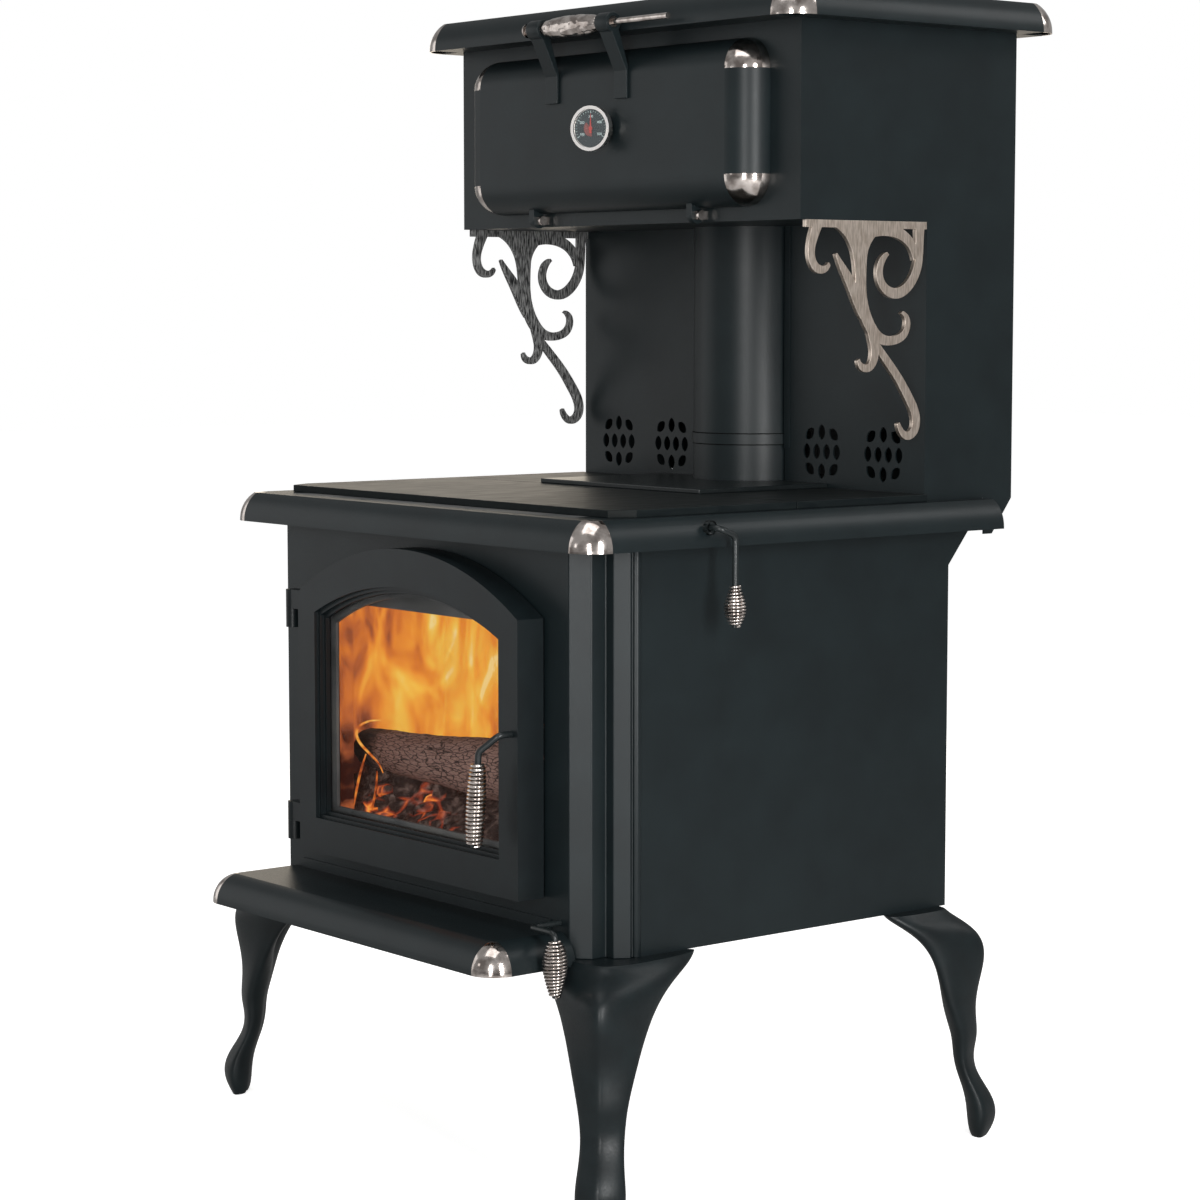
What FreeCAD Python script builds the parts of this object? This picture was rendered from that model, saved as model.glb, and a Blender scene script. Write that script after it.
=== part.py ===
import FreeCAD, Part
import math
import os
from types import SimpleNamespace

import Sketcher
from FreeCAD import Placement, Rotation, Vector

# Driving dimensions, in millimetres

sizes = {
    # casing
    "casingWidth": 670,
    "casingDepth": 570,
    "legHeight": 287,
    "sheetWall": 2,
    "frontWall": 6,
    "seatGap": 0.3,
    "runningGap": 0.08,
    # corner posts, from the front plate round to the side panel
    "postChamfer": 19,
    "postReturn": 21,
    "postStep": 13.5,
    "ridgeChamfer": 10,
    "ridgeRun": 17,
    "ridgeFlat": 2,
    "grooveWidth": 4,
    "grooveDepth": 3,
    "beadWidth": 10,
    "beadRadius": 6,
    "postInset": 30,
    # rear shield and gussets
    "shieldWrap": 40,
    "gussetDrop": 45,
    "gussetReach": 37,
    "gussetWall": 4,
    # firebox
    "shellAside": 45,
    "shellRear": 555,
    "shellLift": 30,
    "shellWall": 5,
    "lipLap": 10,
    "flueBoxWidth": 230,
    "flueBoxRear": 624,
    "flueBoxDrop": 71,
    "brickLength": 229,
    "brickWall": 32,
    "brickJoint": 0.5,
    "tubeRadius": 12.7,
    "tubeWall": 1.5,
    "tubeDrop": 80,
    "tubeFront": 150,
    "tubePitch": 130,
    "baffleWall": 6,
    "baffleFront": 100,
    "deflectorWall": 3,
    "deflectorHeight": 96,
    "deflectorWidth": 400,
    # fire door, its bottom above the casing bottom
    "doorCentre": 23,
    "doorWidth": 456,
    "doorBottom": 66,
    "doorHeight": 327,
    "doorRise": 67.5,
    "doorHeadroom": 14.5,
    "doorDepth": 38,
    "doorGap": 4,
    "openingWidth": 383,
    "openingSill": 44,
    "openingShoulder": 23,
    "openingRise": 44,
    "mouldingStep": 4,
    "mouldingDrop": 6,
    "glassWall": 5,
    "glassGap": 1,
    "retainerWall": 4,
    "retainerWidth": 14,
    "gasketInset": 23,
    "gasketWidth": 10,
    "gasketSink": 4,
    "mouthInset": 43,
    "mouthRise": 44,
    # fire door hinges and latch
    "hingeOffset": 45,
    "hingeReach": 20,
    "hingeRise": 5,
    "hingeDrop": 49,
    "knuckleRadius": 9,
    "knuckleHeight": 24,
    "hingePinRadius": 5,
    "hingePlateWall": 4,
    "lugWall": 14,
    "latchInset": 13,
    "latchRise": 194,
    "latchReach": 33,
    "latchDrop": 24,
    "latchDrift": 18,
    "latchRodRadius": 4,
    "latchBend": 10,
    "tongueWidth": 12,
    "tongueLength": 30,
    "tongueWall": 6,
    "tongueGap": 2,
    "slotGap": 2.5,
    # ash shelf
    "shelfWidth": 610,
    "shelfReach": 125,
    "shelfHeight": 36,
    "shelfNose": 29,
    "shelfCorner": 33,
    "shelfDrop": 6,
    "shelfFlange": 12,
    "capPole": 0.1,
    # cooktop
    "trimHeight": 36,
    "trimReach": 36,
    "trimSideReach": 39,
    "trimNose": 19,
    "trimCorner": 35.5,
    "trimRear": 628,
    "plateWall": 9,
    "plateFront": 31,
    "plateSeam": 308,
    "plateSeamGap": 1,
    "plateOverhang": 6,
    "plateRear": 640,
    "plateClipAcross": 16,
    "plateClipBack": 30,
    "flueBaseWidth": 320,
    "flueBaseFront": 310,
    "flueBaseWall": 6,
    # flue pipe
    "pipeRadius": 76.2,
    "pipeWall": 2,
    "pipeSetback": 12,
    "pipeAbove": 60,
    "pipeGap": 0.5,
    "pipeBeadHeight": 13,
    "pipeBeadLift": 53,
    "pipeBeadRise": 2.2,
    # hood
    "hoodWidth": 671,
    "hoodFront": 316,
    "hoodRear": 680,
    "hoodClear": 334,
    "hoodHeight": 273,
    "columnFront": 526,
    "columnGap": 3,
    "flangeWidth": 10,
    "flangeLift": 48,
    "tailWidth": 15,
    "tailSlope": 35,
    "tailDrop": 45,
    "frameWidth": 500,
    "frameSill": 36,
    "frameHead": 77,
    "corniceHeight": 37,
    "corniceReach": 48,
    "corniceSideReach": 37,
    "corniceNose": 19,
    "corniceCorner": 38.5,
    # vents, each a rosette of leaf-shaped slots
    "ventInner": 149,
    "ventOuter": 262,
    "ventLift": 46,
    "ventPitchAcross": 18.5,
    "ventPitchUp": 25,
    "leafLength": 20,
    "leafWidth": 13,
    # scroll brackets
    "scrollWall": 6,
    "scrollLength": 201,
    "scrollBar": 9,
    # warming door
    "warmWidth": 564,
    "warmLift": 17,
    "warmHeight": 201,
    "warmDepth": 40,
    "warmRadius": 38,
    "hookSpread": 158,
    "hookWidth": 10,
    "hookRadius": 10,
    "hookPinRadius": 3.5,
    "hookReach": 12,
    "hookDrop": 9,
    "earWall": 4,
    "pinHeadRadius": 6,
    "pinHeadWall": 4,
    # warming door handle
    "gripLeft": -74,
    "gripRight": 39,
    "gripRadius": 13,
    "barReach": 24,
    "barRise": 28,
    "barRadius": 7,
    "ballRadius": 9,
    "ballCentre": -108,
    "rodEnd": 168,
    "rodRadius": 3.8,
    "strapLeft": -87,
    "strapRight": 52,
    "strapWidth": 24,
    "strapWall": 4,
    "strapFootDrop": 64,
    "strapBendDrop": 26,
    "strapEyeRadius": 12,
    # thermometer
    "dialPlace": 10,
    "dialLift": 101,
    "dialTurn": 20,
    "dialRadius": 28,
    "dialRim": 4,
    "dialDepth": 9,
    "dialSink": 3,
    "coneLength": 14,
    "stemRadius": 7,
    "stemLength": 12,
    "needleLength": 19,
    "needleTail": 6,
    "needleWidth": 3,
    "needleWall": 0.8,
    "needleHub": 2.5,
    # coil grips
    "latchWire": 1.9,
    "latchGripRadius": 11.9,
    "latchGripLength": 96,
    "leverRodRadius": 3.5,
    "leverWire": 1.5,
    "airGripRadius": 15,
    "airGripLength": 64,
    "damperGripRadius": 13.5,
    "damperGripLength": 46,
    # damper lever on the right trim
    "damperPlace": 144,
    "damperSink": 13,
    "damperOut": 16,
    "damperBack": 24,
    "damperLower": 10,
    "damperHang": 58,
    "leverBend": 8,
    "bladeWidth": 240,
    "bladeLength": 50,
    "bladeWall": 3,
    # air control rod at the right end of the shelf
    "airInset": 9,
    "airHeight": 40,
    "airInside": 60,
    "airOut": 43,
    "airAside": 46,
    "airHang": 9,
    "gateWidth": 15,
    "gateWall": 3,
    "gateHeight": 24,
    # legs
    "footOut": 45,
    "footFront": -23,
    "footRear": 585,
}
latchTurns = 20
airTurns = 16
damperTurns = 12


# A length that carries its value and the sheet formula that gives it
class Size:
    def __init__(self, value, text):
        self.value = float(value)
        self.text = text

    def __add__(self, other):
        other = asSize(other)
        return Size(self.value + other.value, f"({self.text} + {other.text})")

    def __sub__(self, other):
        other = asSize(other)
        return Size(self.value - other.value, f"({self.text} - {other.text})")

    def __mul__(self, other):
        other = asSize(other)
        return Size(self.value * other.value, f"({self.text} * {other.text})")

    def __truediv__(self, other):
        other = asSize(other)
        return Size(self.value / other.value, f"({self.text} / {other.text})")

    def __radd__(self, other):
        return asSize(other) + self

    def __rsub__(self, other):
        return asSize(other) - self

    def __rmul__(self, other):
        return asSize(other) * self

    def __neg__(self):
        return asSize(0) - self

    def __float__(self):
        return self.value


def asSize(number):
    return number if isinstance(number, Size) else Size(number, f"({number})")


doc = FreeCAD.newDocument("WoodStove")
sheet = doc.addObject("Spreadsheet::Sheet", "Sizes")
d = SimpleNamespace()
for row, (alias, number) in enumerate(sizes.items(), start=1):
    sheet.set(f"A{row}", alias)
    sheet.set(f"B{row}", str(number))
    sheet.setAlias(f"B{row}", alias)
    setattr(d, alias, Size(number, f"Sizes.{alias}"))
doc.recompute()

subParts = []


def keep(piece):
    subParts.append(piece)
    return piece


def bind(piece, prop, size):
    piece.setExpression(prop, asSize(size).text)


def bindPlace(piece, x, y, z):
    for axis, size in zip("xyz", (x, y, z)):
        bind(piece, f"Placement.Base.{axis}", size)


# Primitives and booleans

def box(name, across, along, up):
    piece = doc.addObject("Part::Box", name)
    for prop, span in zip(("Length", "Width", "Height"), (across, along, up)):
        bind(piece, prop, span[1] - span[0])
    bindPlace(piece, across[0], along[0], up[0])
    return piece


def cylinder(name, radius, length, start, axis):
    piece = doc.addObject("Part::Cylinder", name)
    bind(piece, "Radius", radius)
    bind(piece, "Height", length)
    piece.Placement = Placement(Vector(), Rotation(Vector(0, 0, 1), Vector(*axis)))
    bindPlace(piece, *start)
    return piece


def fuse(name, *pieces):
    piece = doc.addObject("Part::MultiFuse", name)
    piece.Shapes = list(pieces)
    piece.Refine = True
    return piece


def cut(name, base, *tools):
    piece = doc.addObject("Part::Cut", name)
    piece.Base = base
    piece.Tool = tools[0] if len(tools) == 1 else fuse(name + "Tools", *tools)
    piece.Refine = True
    return piece


def group(name, pieces):
    piece = doc.addObject("Part::Compound", name)
    piece.Links = list(pieces)
    return piece


def formed(name, shape):
    piece = doc.addObject("Part::Feature", name)
    piece.Shape = shape
    piece.Placement = Placement()
    return piece


def mirroredSpan(side, inner, outer):
    return (inner, outer) if side > 0 else (-outer, -inner)


# Sketches: a point is (across, up), and (across, up, radius, turn) starts an arc, turn 1 for anticlockwise

def edgeBetween(point, following):
    start = Vector(float(point[0]), float(point[1]), 0)
    end = Vector(float(following[0]), float(following[1]), 0)
    if len(point) == 2:
        return Part.LineSegment(start, end), start
    radius = float(point[2])
    chord = end - start
    left = Vector(-chord.y, chord.x, 0).normalize() * point[3]
    rise = math.sqrt(max(radius ** 2 - (chord.Length / 2) ** 2, 0))
    centre = (start + end) / 2 + left * rise
    middle = centre - left * radius
    return Part.Arc(start, middle, end) if point[3] > 0 else Part.Arc(end, middle, start), start


def drawLoop(sketch, points):
    edges = []
    for index, point in enumerate(points):
        geometry, start = edgeBetween(point, points[(index + 1) % len(points)])
        number = sketch.addGeometry(geometry)
        first = 1 if (sketch.Geometry[number].StartPoint - start).Length < 1e-6 else 2
        edges.append((number, first))
    for index, point in enumerate(points):
        number, first = edges[index]
        after, afterFirst = edges[(index + 1) % len(edges)]
        sketch.addConstraint(Sketcher.Constraint("Coincident", number, 3 - first, after, afterFirst))
        for kind, size in zip(("DistanceX", "DistanceY"), point):
            datum = sketch.addConstraint(Sketcher.Constraint(kind, -1, 1, number, first, float(size)))
            bind(sketch, f"Constraints[{datum}]", size)
        if len(point) == 4:
            datum = sketch.addConstraint(Sketcher.Constraint("Radius", number, float(point[2])))
            bind(sketch, f"Constraints[{datum}]", point[2])


def sketchIn(body, plane, offset, loops):
    sketch = body.newObject("Sketcher::SketchObject", body.Name + "Outline")
    origin = next(item for item in body.Origin.OriginFeatures if item.Role == plane + "_Plane")
    sketch.AttachmentSupport = [(origin, "")]
    sketch.MapMode = "FlatFace"
    bind(sketch, "AttachmentOffset.Base.z", offset)
    for loop in loops:
        drawLoop(sketch, loop)
    return sketch


def padBody(name, plane, loops, span):
    body = doc.addObject("PartDesign::Body", name)
    offset = -span[1] if plane == "XZ" else span[0]
    sketch = sketchIn(body, plane, offset, loops)
    pad = body.newObject("PartDesign::Pad", name + "Pad")
    pad.Profile = sketch
    bind(pad, "Length", span[1] - span[0])
    body.Tip = pad
    return body


def turnedBody(name, loop, angle):
    body = doc.addObject("PartDesign::Body", name)
    sketch = sketchIn(body, "XZ", 0, [loop])
    turned = body.newObject("PartDesign::Revolution", name + "Turned")
    turned.Profile = sketch
    turned.ReferenceAxis = (sketch, ["V_Axis"])
    turned.Angle = angle
    body.Tip = turned
    return body


def rectangle(across, up):
    return [(across[0], up[0]), (across[1], up[0]), (across[1], up[1]), (across[0], up[1])]


# An upright opening with an arched head
def archLoop(centre, half, bottom, spring, rise):
    radius = (half * half + rise * rise) / (2 * rise)
    return [(centre - half, bottom), (centre + half, bottom),
            (centre + half, spring, radius, 1), (centre - half, spring)]


# Section of a rounded moulding: upright at its outer edge, leaning in by depth at its top, with two flanges
def noseLoop(edge, foot, height, depth, wall, inward, lowFlange, topFlange):
    start = foot + wall
    rise = height - wall
    top = foot + height
    radius = (rise * rise + depth * depth) / (2 * depth)
    share = (radius - wall) / radius
    innerTop = edge + inward * (radius + (depth - radius) * share)
    return [(edge, foot), (edge, start, radius, -inward), (edge + inward * depth, top),
            (topFlange, top), (topFlange, top - wall), (edge + inward * (depth + wall), top - wall),
            (innerTop, start + rise * share, radius - wall, inward), (edge + inward * wall, start),
            (lowFlange, start), (lowFlange, foot)]


# A plated corner of such a moulding: its section turned a quarter round the corner's upright axis
def turnedCap(name, centre, cornerRadius, height, depth, wall, quarter):
    section = noseLoop(cornerRadius, 0, height, depth, wall, -1, 0, d.capPole)
    cap = turnedBody(name, section[:7] + [(cornerRadius - wall, 0)], 90)
    cap.Placement = Placement(Vector(), Rotation(Vector(0, 0, 1), 90 * quarter))
    bindPlace(cap, *centre)
    return cap


# A plated corner of the warming door: an eighth of a hollow ball with a short skirt, facing forwards
def ballCap(name, centre, radius, skirt, wall, quarter):
    facing = Rotation(Vector(1, 0, 0), 90)
    place = Placement(Vector(), facing * Rotation(Vector(0, 0, 1), 90 * quarter))
    pieces = []
    for layer, ballRadius, angle in (("Outer", radius, 90), ("Inner", radius - wall, 360)):
        ball = doc.addObject("Part::Sphere", name + layer + "Ball")
        bind(ball, "Radius", ballRadius)
        ball.Angle1 = 0 if angle == 90 else -90
        ball.Angle3 = angle
        ball.Placement = place
        bindPlace(ball, *centre)
        ring = doc.addObject("Part::Cylinder", name + layer + "Ring")
        bind(ring, "Radius", ballRadius)
        bind(ring, "Height", skirt)
        ring.Angle = angle
        ring.Placement = place
        bindPlace(ring, centre[0], centre[1] + skirt, centre[2])
        pieces.append(fuse(name + layer, ball, ring))
    return cut(name, *pieces)


# Rods, coils and ribbons

def sweptSolid(path, radius):
    wire = Part.Wire(path)
    start = path[0].valueAt(path[0].FirstParameter)
    along = path[0].tangentAt(path[0].FirstParameter)
    shell = Part.BRepOffsetAPI.MakePipeShell(wire)
    shell.add(Part.Wire(Part.makeCircle(radius, start, along)))
    shell.build()
    shell.makeSolid()
    return shell.shape()


# Straight runs through the points, each corner rounded to the bend radius
def bentRod(points, radius, bend):
    path = []
    start = points[0]
    for before, corner, after in zip(points, points[1:], points[2:]):
        back = (before - corner).normalize()
        ahead = (after - corner).normalize()
        halfAngle = back.getAngle(ahead) / 2
        reach = bend / math.tan(halfAngle)
        inward = (back + ahead).normalize()
        middle = corner + inward * (bend / math.sin(halfAngle) - bend)
        path.append(Part.LineSegment(start, corner + back * reach).toShape())
        path.append(Part.Arc(corner + back * reach, middle, corner + ahead * reach).toShape())
        start = corner + ahead * reach
    path.append(Part.LineSegment(start, points[-1]).toShape())
    return sweptSolid(path, radius)


def arcFrom(start, tangent, end):
    chord = end - start
    sideways = (chord - tangent * chord.dot(tangent)).normalize()
    radius = chord.Length ** 2 / (2 * chord.dot(sideways))
    centre = start + sideways * radius
    middle = centre + ((start - centre) + (end - centre)).normalize() * radius
    return Part.Arc(start, middle, end).toShape()


# Two tangent arcs from one point and direction to another
def biarc(start, startTangent, end, endTangent):
    chord = end - start
    both = startTangent + endTangent
    spread = 2 * (1 - startTangent.dot(endTangent))
    reach = (math.sqrt(chord.dot(both) ** 2 + spread * chord.Length ** 2) - chord.dot(both)) / spread
    joint = (start + end + (startTangent - endTangent) * reach) / 2
    first = arcFrom(start, startTangent, joint)
    second = arcFrom(end, endTangent * -1, joint)
    return [first, second.reversed()]


# A grip wound from one wire that swells from the rod to its belly and closes on the rod again
def coilGrip(top, along, length, turns, wire, endRadius, bellyRadius, bellyPlace, fullness):
    side = along.cross(Vector(0, 1, 0)) if abs(along.y) < 0.9 else along.cross(Vector(1, 0, 0))
    side.normalize()
    other = along.cross(side)
    skew = math.log(0.5) / math.log(bellyPlace)

    def place(turn):
        share = min(max(turn / turns, 0), 1)
        swell = math.sin(math.pi * share ** skew) ** fullness
        radius = endRadius + (bellyRadius - endRadius) * swell
        angle = 2 * math.pi * turn
        aside = side * math.cos(angle) + other * math.sin(angle)
        return top + along * (length * turn / turns) + aside * radius

    def heading(turn):
        step = 0.01
        return (place(turn + step) - place(turn - step)).normalize()

    stops = [index / 4 for index in range(4 * turns + 1)]
    path = [Part.LineSegment(place(0) - heading(0) * 2 * wire, place(0)).toShape()]
    for turn, following in zip(stops, stops[1:]):
        path.extend(biarc(place(turn), heading(turn), place(following), heading(following)))
    path.append(Part.LineSegment(place(turns), place(turns) + heading(turns) * 2 * wire).toShape())
    samples = 24
    points = [place(index / samples) for index in range(samples * turns + 1)]
    near = samples // 2
    gap = min((points[index] - other).Length for index in range(len(points))
              for other in points[index + near:index + 2 * samples]) - 2 * wire
    return sweptSolid(path, wire), gap


# A flat stroke along a curve, its half width given at every point
def ribbon(points, halfWidths):
    count = len(points)
    lefts = []
    rights = []
    for index in range(count):
        run = points[min(index + 1, count - 1)] - points[max(index - 1, 0)]
        across = Vector(0, -run.z, run.y).normalize() * halfWidths[index]
        lefts.append(points[index] + across)
        rights.append(points[index] - across)
    outer = Part.BSplineCurve()
    outer.interpolate(lefts)
    inner = Part.BSplineCurve()
    inner.interpolate(rights)
    edges = [outer.toShape(), Part.LineSegment(lefts[-1], rights[-1]).toShape(),
             inner.toShape(), Part.LineSegment(lefts[0], rights[0]).toShape()]
    return Part.Face(Part.Wire(Part.__sortEdges__(edges)))


# Shared places

half = d.casingWidth / 2
frontHalf = half - d.ridgeChamfer - d.postStep - d.postChamfer
front = (d.shelfReach - d.hoodRear - d.corniceReach) / 2
rear = front + d.casingDepth
base = d.legHeight
doorBottom = base + d.doorBottom
doorSpring = doorBottom + d.doorHeight
openingBottom = doorBottom + d.openingSill
openingSpring = doorSpring - d.openingShoulder
casingTop = doorSpring + d.doorRise + d.doorHeadroom
trimTop = casingTop + d.trimHeight
plateTop = trimTop + d.plateWall
hoodBottom = plateTop + d.hoodClear
hoodTop = hoodBottom + d.hoodHeight
flangeUnder = trimTop - d.sheetWall
shellHalf = half - d.shellAside
innerHalf = shellHalf - d.shellWall
postDepth = (d.postChamfer + d.postReturn + d.ridgeRun + d.ridgeFlat + d.grooveWidth + d.beadWidth)
hands = ((-1, "left"), (1, "right"))

# Casing

doorCentre = d.doorCentre
doorLeft = doorCentre - d.doorWidth / 2
latchX = doorCentre + d.doorWidth / 2 - d.latchInset
latchZ = doorBottom + d.latchRise
mouthHalf = d.doorWidth / 2 - d.mouthInset
tongueSide = d.tongueWidth / 2 + d.slotGap
mouth = archLoop(doorCentre, mouthHalf, openingBottom, openingSpring, d.mouthRise)
latchSlot = rectangle((latchX - tongueSide, latchX + tongueSide),
                      (latchZ - d.tongueLength - d.slotGap, latchZ + tongueSide))
airX = innerHalf - d.airInset
airZ = base + d.airHeight
frontSheet = padBody("frontSheet", "XZ",
                     [rectangle((-frontHalf, frontHalf), (base, flangeUnder)), mouth, latchSlot],
                     (front, front + d.frontWall))
airBore = cylinder("airRodBore", d.leverRodRadius + d.runningGap, d.frontWall + 2,
                   (airX, front - 1, airZ), (0, 1, 0))
keep(cut("front_plate", frontSheet, airBore))

for side, hand in hands:
    chamferY = front + d.postChamfer
    stepY = chamferY + d.postReturn
    ridgeY = stepY + d.ridgeRun
    grooveY = ridgeY + d.ridgeFlat
    beadY = grooveY + d.grooveWidth
    endY = beadY + d.beadWidth
    outline = [(side * frontHalf, front),
               (side * (frontHalf + d.postChamfer), chamferY),
               (side * (frontHalf + d.postChamfer), stepY),
               (side * (frontHalf + d.postChamfer + d.postStep), stepY),
               (side * half, ridgeY),
               (side * half, grooveY),
               (side * (half - d.grooveDepth), grooveY),
               (side * (half - d.grooveDepth), beadY),
               (side * half, beadY, d.beadRadius, side),
               (side * half, endY),
               (side * (half - d.postInset), endY),
               (side * frontHalf, front + d.frontWall)]
    keep(padBody(f"corner_post_{hand}", "XY", [outline], (base, casingTop)))
    keep(box(f"side_panel_{hand}", mirroredSpan(side, half - d.sheetWall, half),
             (front + postDepth, rear - d.shieldWrap), (base, casingTop)))

shieldOuter = box("rearShieldOuter", (-half, half), (rear - d.shieldWrap, rear), (base, casingTop))
shieldInner = box("rearShieldInner", (d.sheetWall - half, half - d.sheetWall),
                  (rear - d.shieldWrap - d.sheetWall, rear - d.sheetWall), (base - 1, casingTop + 1))
flueHalf = d.flueBoxWidth / 2
flueBoxBottom = trimTop - d.flueBoxDrop
shieldNotch = box("rearShieldNotch", (-flueHalf - d.seatGap, flueHalf + d.seatGap),
                  (rear - d.shieldWrap, rear + d.sheetWall), (flueBoxBottom - d.seatGap, casingTop + 1))
keep(cut("rear_shield", shieldOuter, shieldInner, shieldNotch))

floorMain = box("bottomShieldMain", (d.sheetWall - half, half - d.sheetWall),
                (front + postDepth, rear - d.sheetWall), (base, base + d.sheetWall))
floorFront = box("bottomShieldFront", (d.seatGap - frontHalf, frontHalf - d.seatGap),
                 (front + d.frontWall, front + postDepth), (base, base + d.sheetWall))
keep(fuse("bottom_shield", floorMain, floorFront))

gussets = []
for side, hand in hands:
    inner, outer = mirroredSpan(side, half - d.gussetWall, half)
    triangle = [(rear, casingTop - d.gussetDrop), (rear + d.gussetReach, casingTop), (rear, casingTop)]
    gussets.append(padBody(f"rearGusset{hand.title()}", "YZ", [triangle], (inner, outer)))
keep(group("rear_gussets", gussets))

# Firebox

shellFront = front + d.frontWall
shellRear = front + d.shellRear
shellFloor = base + d.shellLift
wall = d.shellWall
innerFloor = shellFloor + wall
shellOuter = box("shellOuter", (-shellHalf, shellHalf), (shellFront, shellRear), (shellFloor, trimTop))
flueOuter = box("flueBoxOuter", (-flueHalf, flueHalf), (shellRear - wall, front + d.flueBoxRear),
                (flueBoxBottom, trimTop))
shellInner = box("shellInner", (-innerHalf, innerHalf), (shellFront - 1, shellRear - wall),
                 (innerFloor, trimTop + 1))
flueInner = box("flueBoxInner", (wall - flueHalf, flueHalf - wall),
                (shellRear - 2 * wall, front + d.flueBoxRear - wall), (flueBoxBottom + wall, trimTop + 1))
damperY = front + d.damperPlace
damperZ = trimTop - d.damperSink
damperBore = cylinder("damperShellBore", d.leverRodRadius + d.runningGap, 2 * wall,
                      (innerHalf - wall / 2, damperY, damperZ), (1, 0, 0))
shellHollow = cut("shellHollow", fuse("shellBoxes", shellOuter, flueOuter), shellInner, flueInner, damperBore)
# the lip closes the firebox between the front plate and the cooktop, which rests on it
shellLip = box("shellLip", (-innerHalf, innerHalf), (shellFront, front + d.plateFront + d.lipLap),
               (trimTop - wall, trimTop))
keep(fuse("firebox_shell", shellHollow, shellLip))

bricks = []
pitchWide = 2 * innerHalf / 5
brickWidth = pitchWide - d.brickJoint
brickTop = innerFloor + d.brickWall
backFace = shellRear - wall - d.brickWall


def brick(across, along, up):
    bricks.append(box(f"brick{len(bricks) + 1}", across, along, up))


for column in range(-2, 3):
    middle = column * pitchWide
    for rank in range(2):
        rankRear = shellRear - wall - rank * (d.brickLength + d.brickJoint)
        brick((middle - brickWidth / 2, middle + brickWidth / 2),
              (rankRear - d.brickLength, rankRear), (innerFloor, brickTop))
for rank in range(4):
    sideRear = backFace - rank * pitchWide
    for side, hand in hands:
        brick(mirroredSpan(side, innerHalf - d.brickWall, innerHalf), (sideRear - brickWidth, sideRear),
              (brickTop, brickTop + d.brickLength))
    middle = (rank - 1.5) * pitchWide
    brick((middle - brickWidth / 2, middle + brickWidth / 2), (backFace, shellRear - wall),
          (brickTop, brickTop + d.brickLength))
keep(group("firebricks", bricks))

tubes = []
tubeZ = casingTop - d.tubeDrop
for index in range(3):
    tubeY = front + d.tubeFront + index * d.tubePitch
    tubeStart = (-innerHalf, tubeY, tubeZ)
    tubeBody = cylinder(f"airTubeBody{index + 1}", d.tubeRadius, 2 * innerHalf, tubeStart, (1, 0, 0))
    tubeBore = cylinder(f"airTubeBore{index + 1}", d.tubeRadius - d.tubeWall, 2 * innerHalf,
                        tubeStart, (1, 0, 0))
    tubes.append(cut(f"airTube{index + 1}", tubeBody, tubeBore))
keep(group("secondary_air_tubes", tubes))

baffleBottom = tubeZ + d.tubeRadius
keep(box("baffle_plate", (-innerHalf, innerHalf), (front + d.baffleFront, shellRear - wall),
         (baffleBottom, baffleBottom + d.baffleWall)))

keep(box("airwash_deflector", (doorCentre - d.deflectorWidth / 2, doorCentre + d.deflectorWidth / 2),
         (shellFront, shellFront + d.deflectorWall), (casingTop - d.deflectorHeight, casingTop)))

# Fire door

doorFront = front - d.doorGap - d.doorDepth
doorBack = front - d.doorGap
openingHalf = d.openingWidth / 2
hingeX = doorLeft - d.hingeOffset
hingeY = front - d.hingeReach
hingeHeights = (("low", doorBottom + d.hingeRise), ("high", doorSpring - d.hingeDrop))


# Loops that follow the moulding of the glass opening, a given inset from its front edge
def openingLoop(inset):
    return archLoop(doorCentre, openingHalf - inset, openingBottom + inset, openingSpring - inset,
                    d.openingRise)


# Loops that follow the outer edge of the door
def doorLoop(inset):
    return archLoop(doorCentre, d.doorWidth / 2 - inset, doorBottom + inset, doorSpring - inset, d.doorRise)


steps = []
for index in range(3):
    steps.append(padBody(f"mouldingStep{index + 1}", "XZ", [openingLoop(index * d.mouldingStep)],
                         (doorFront - 1, doorFront + (index + 1) * d.mouldingDrop)))
glassFront = doorFront + 3 * d.mouldingDrop
glassRecess = padBody("glassRecess", "XZ", [openingLoop(d.glassGap)], (glassFront, doorBack + 1))
gasketGroove = padBody("gasketGroove", "XZ",
                       [doorLoop(d.gasketInset), doorLoop(d.gasketInset + d.gasketWidth)],
                       (doorBack - d.gasketSink, doorBack + 1))
latchBore = cylinder("latchBore", d.latchRodRadius + d.runningGap, d.doorDepth + 2,
                     (latchX, doorFront - 1, latchZ), (0, 1, 0))
slab = padBody("doorSlab", "XZ", [doorLoop(0)], (doorFront, doorBack))
doorPieces = [slab]
pinBores = []
for place, height in hingeHeights:
    lugBottom = height + d.knuckleHeight + d.seatGap
    lugTop = lugBottom + d.knuckleHeight
    doorPieces.append(cylinder(f"lugKnuckle_{place}", d.knuckleRadius, d.knuckleHeight,
                               (hingeX, hingeY, lugBottom), (0, 0, 1)))
    doorPieces.append(box(f"lugArm_{place}", (hingeX, doorLeft + d.lugWall),
                          (hingeY - d.lugWall / 2, hingeY + d.lugWall / 2), (lugBottom, lugTop)))
    pinBores.append(cylinder(f"lugBore_{place}", d.hingePinRadius + d.runningGap, d.knuckleHeight + 2,
                             (hingeX, hingeY, lugBottom - 1), (0, 0, 1)))
keep(cut("fire_door_frame", fuse("doorCasting", *doorPieces), *steps, glassRecess, gasketGroove,
         latchBore, *pinBores))

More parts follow.
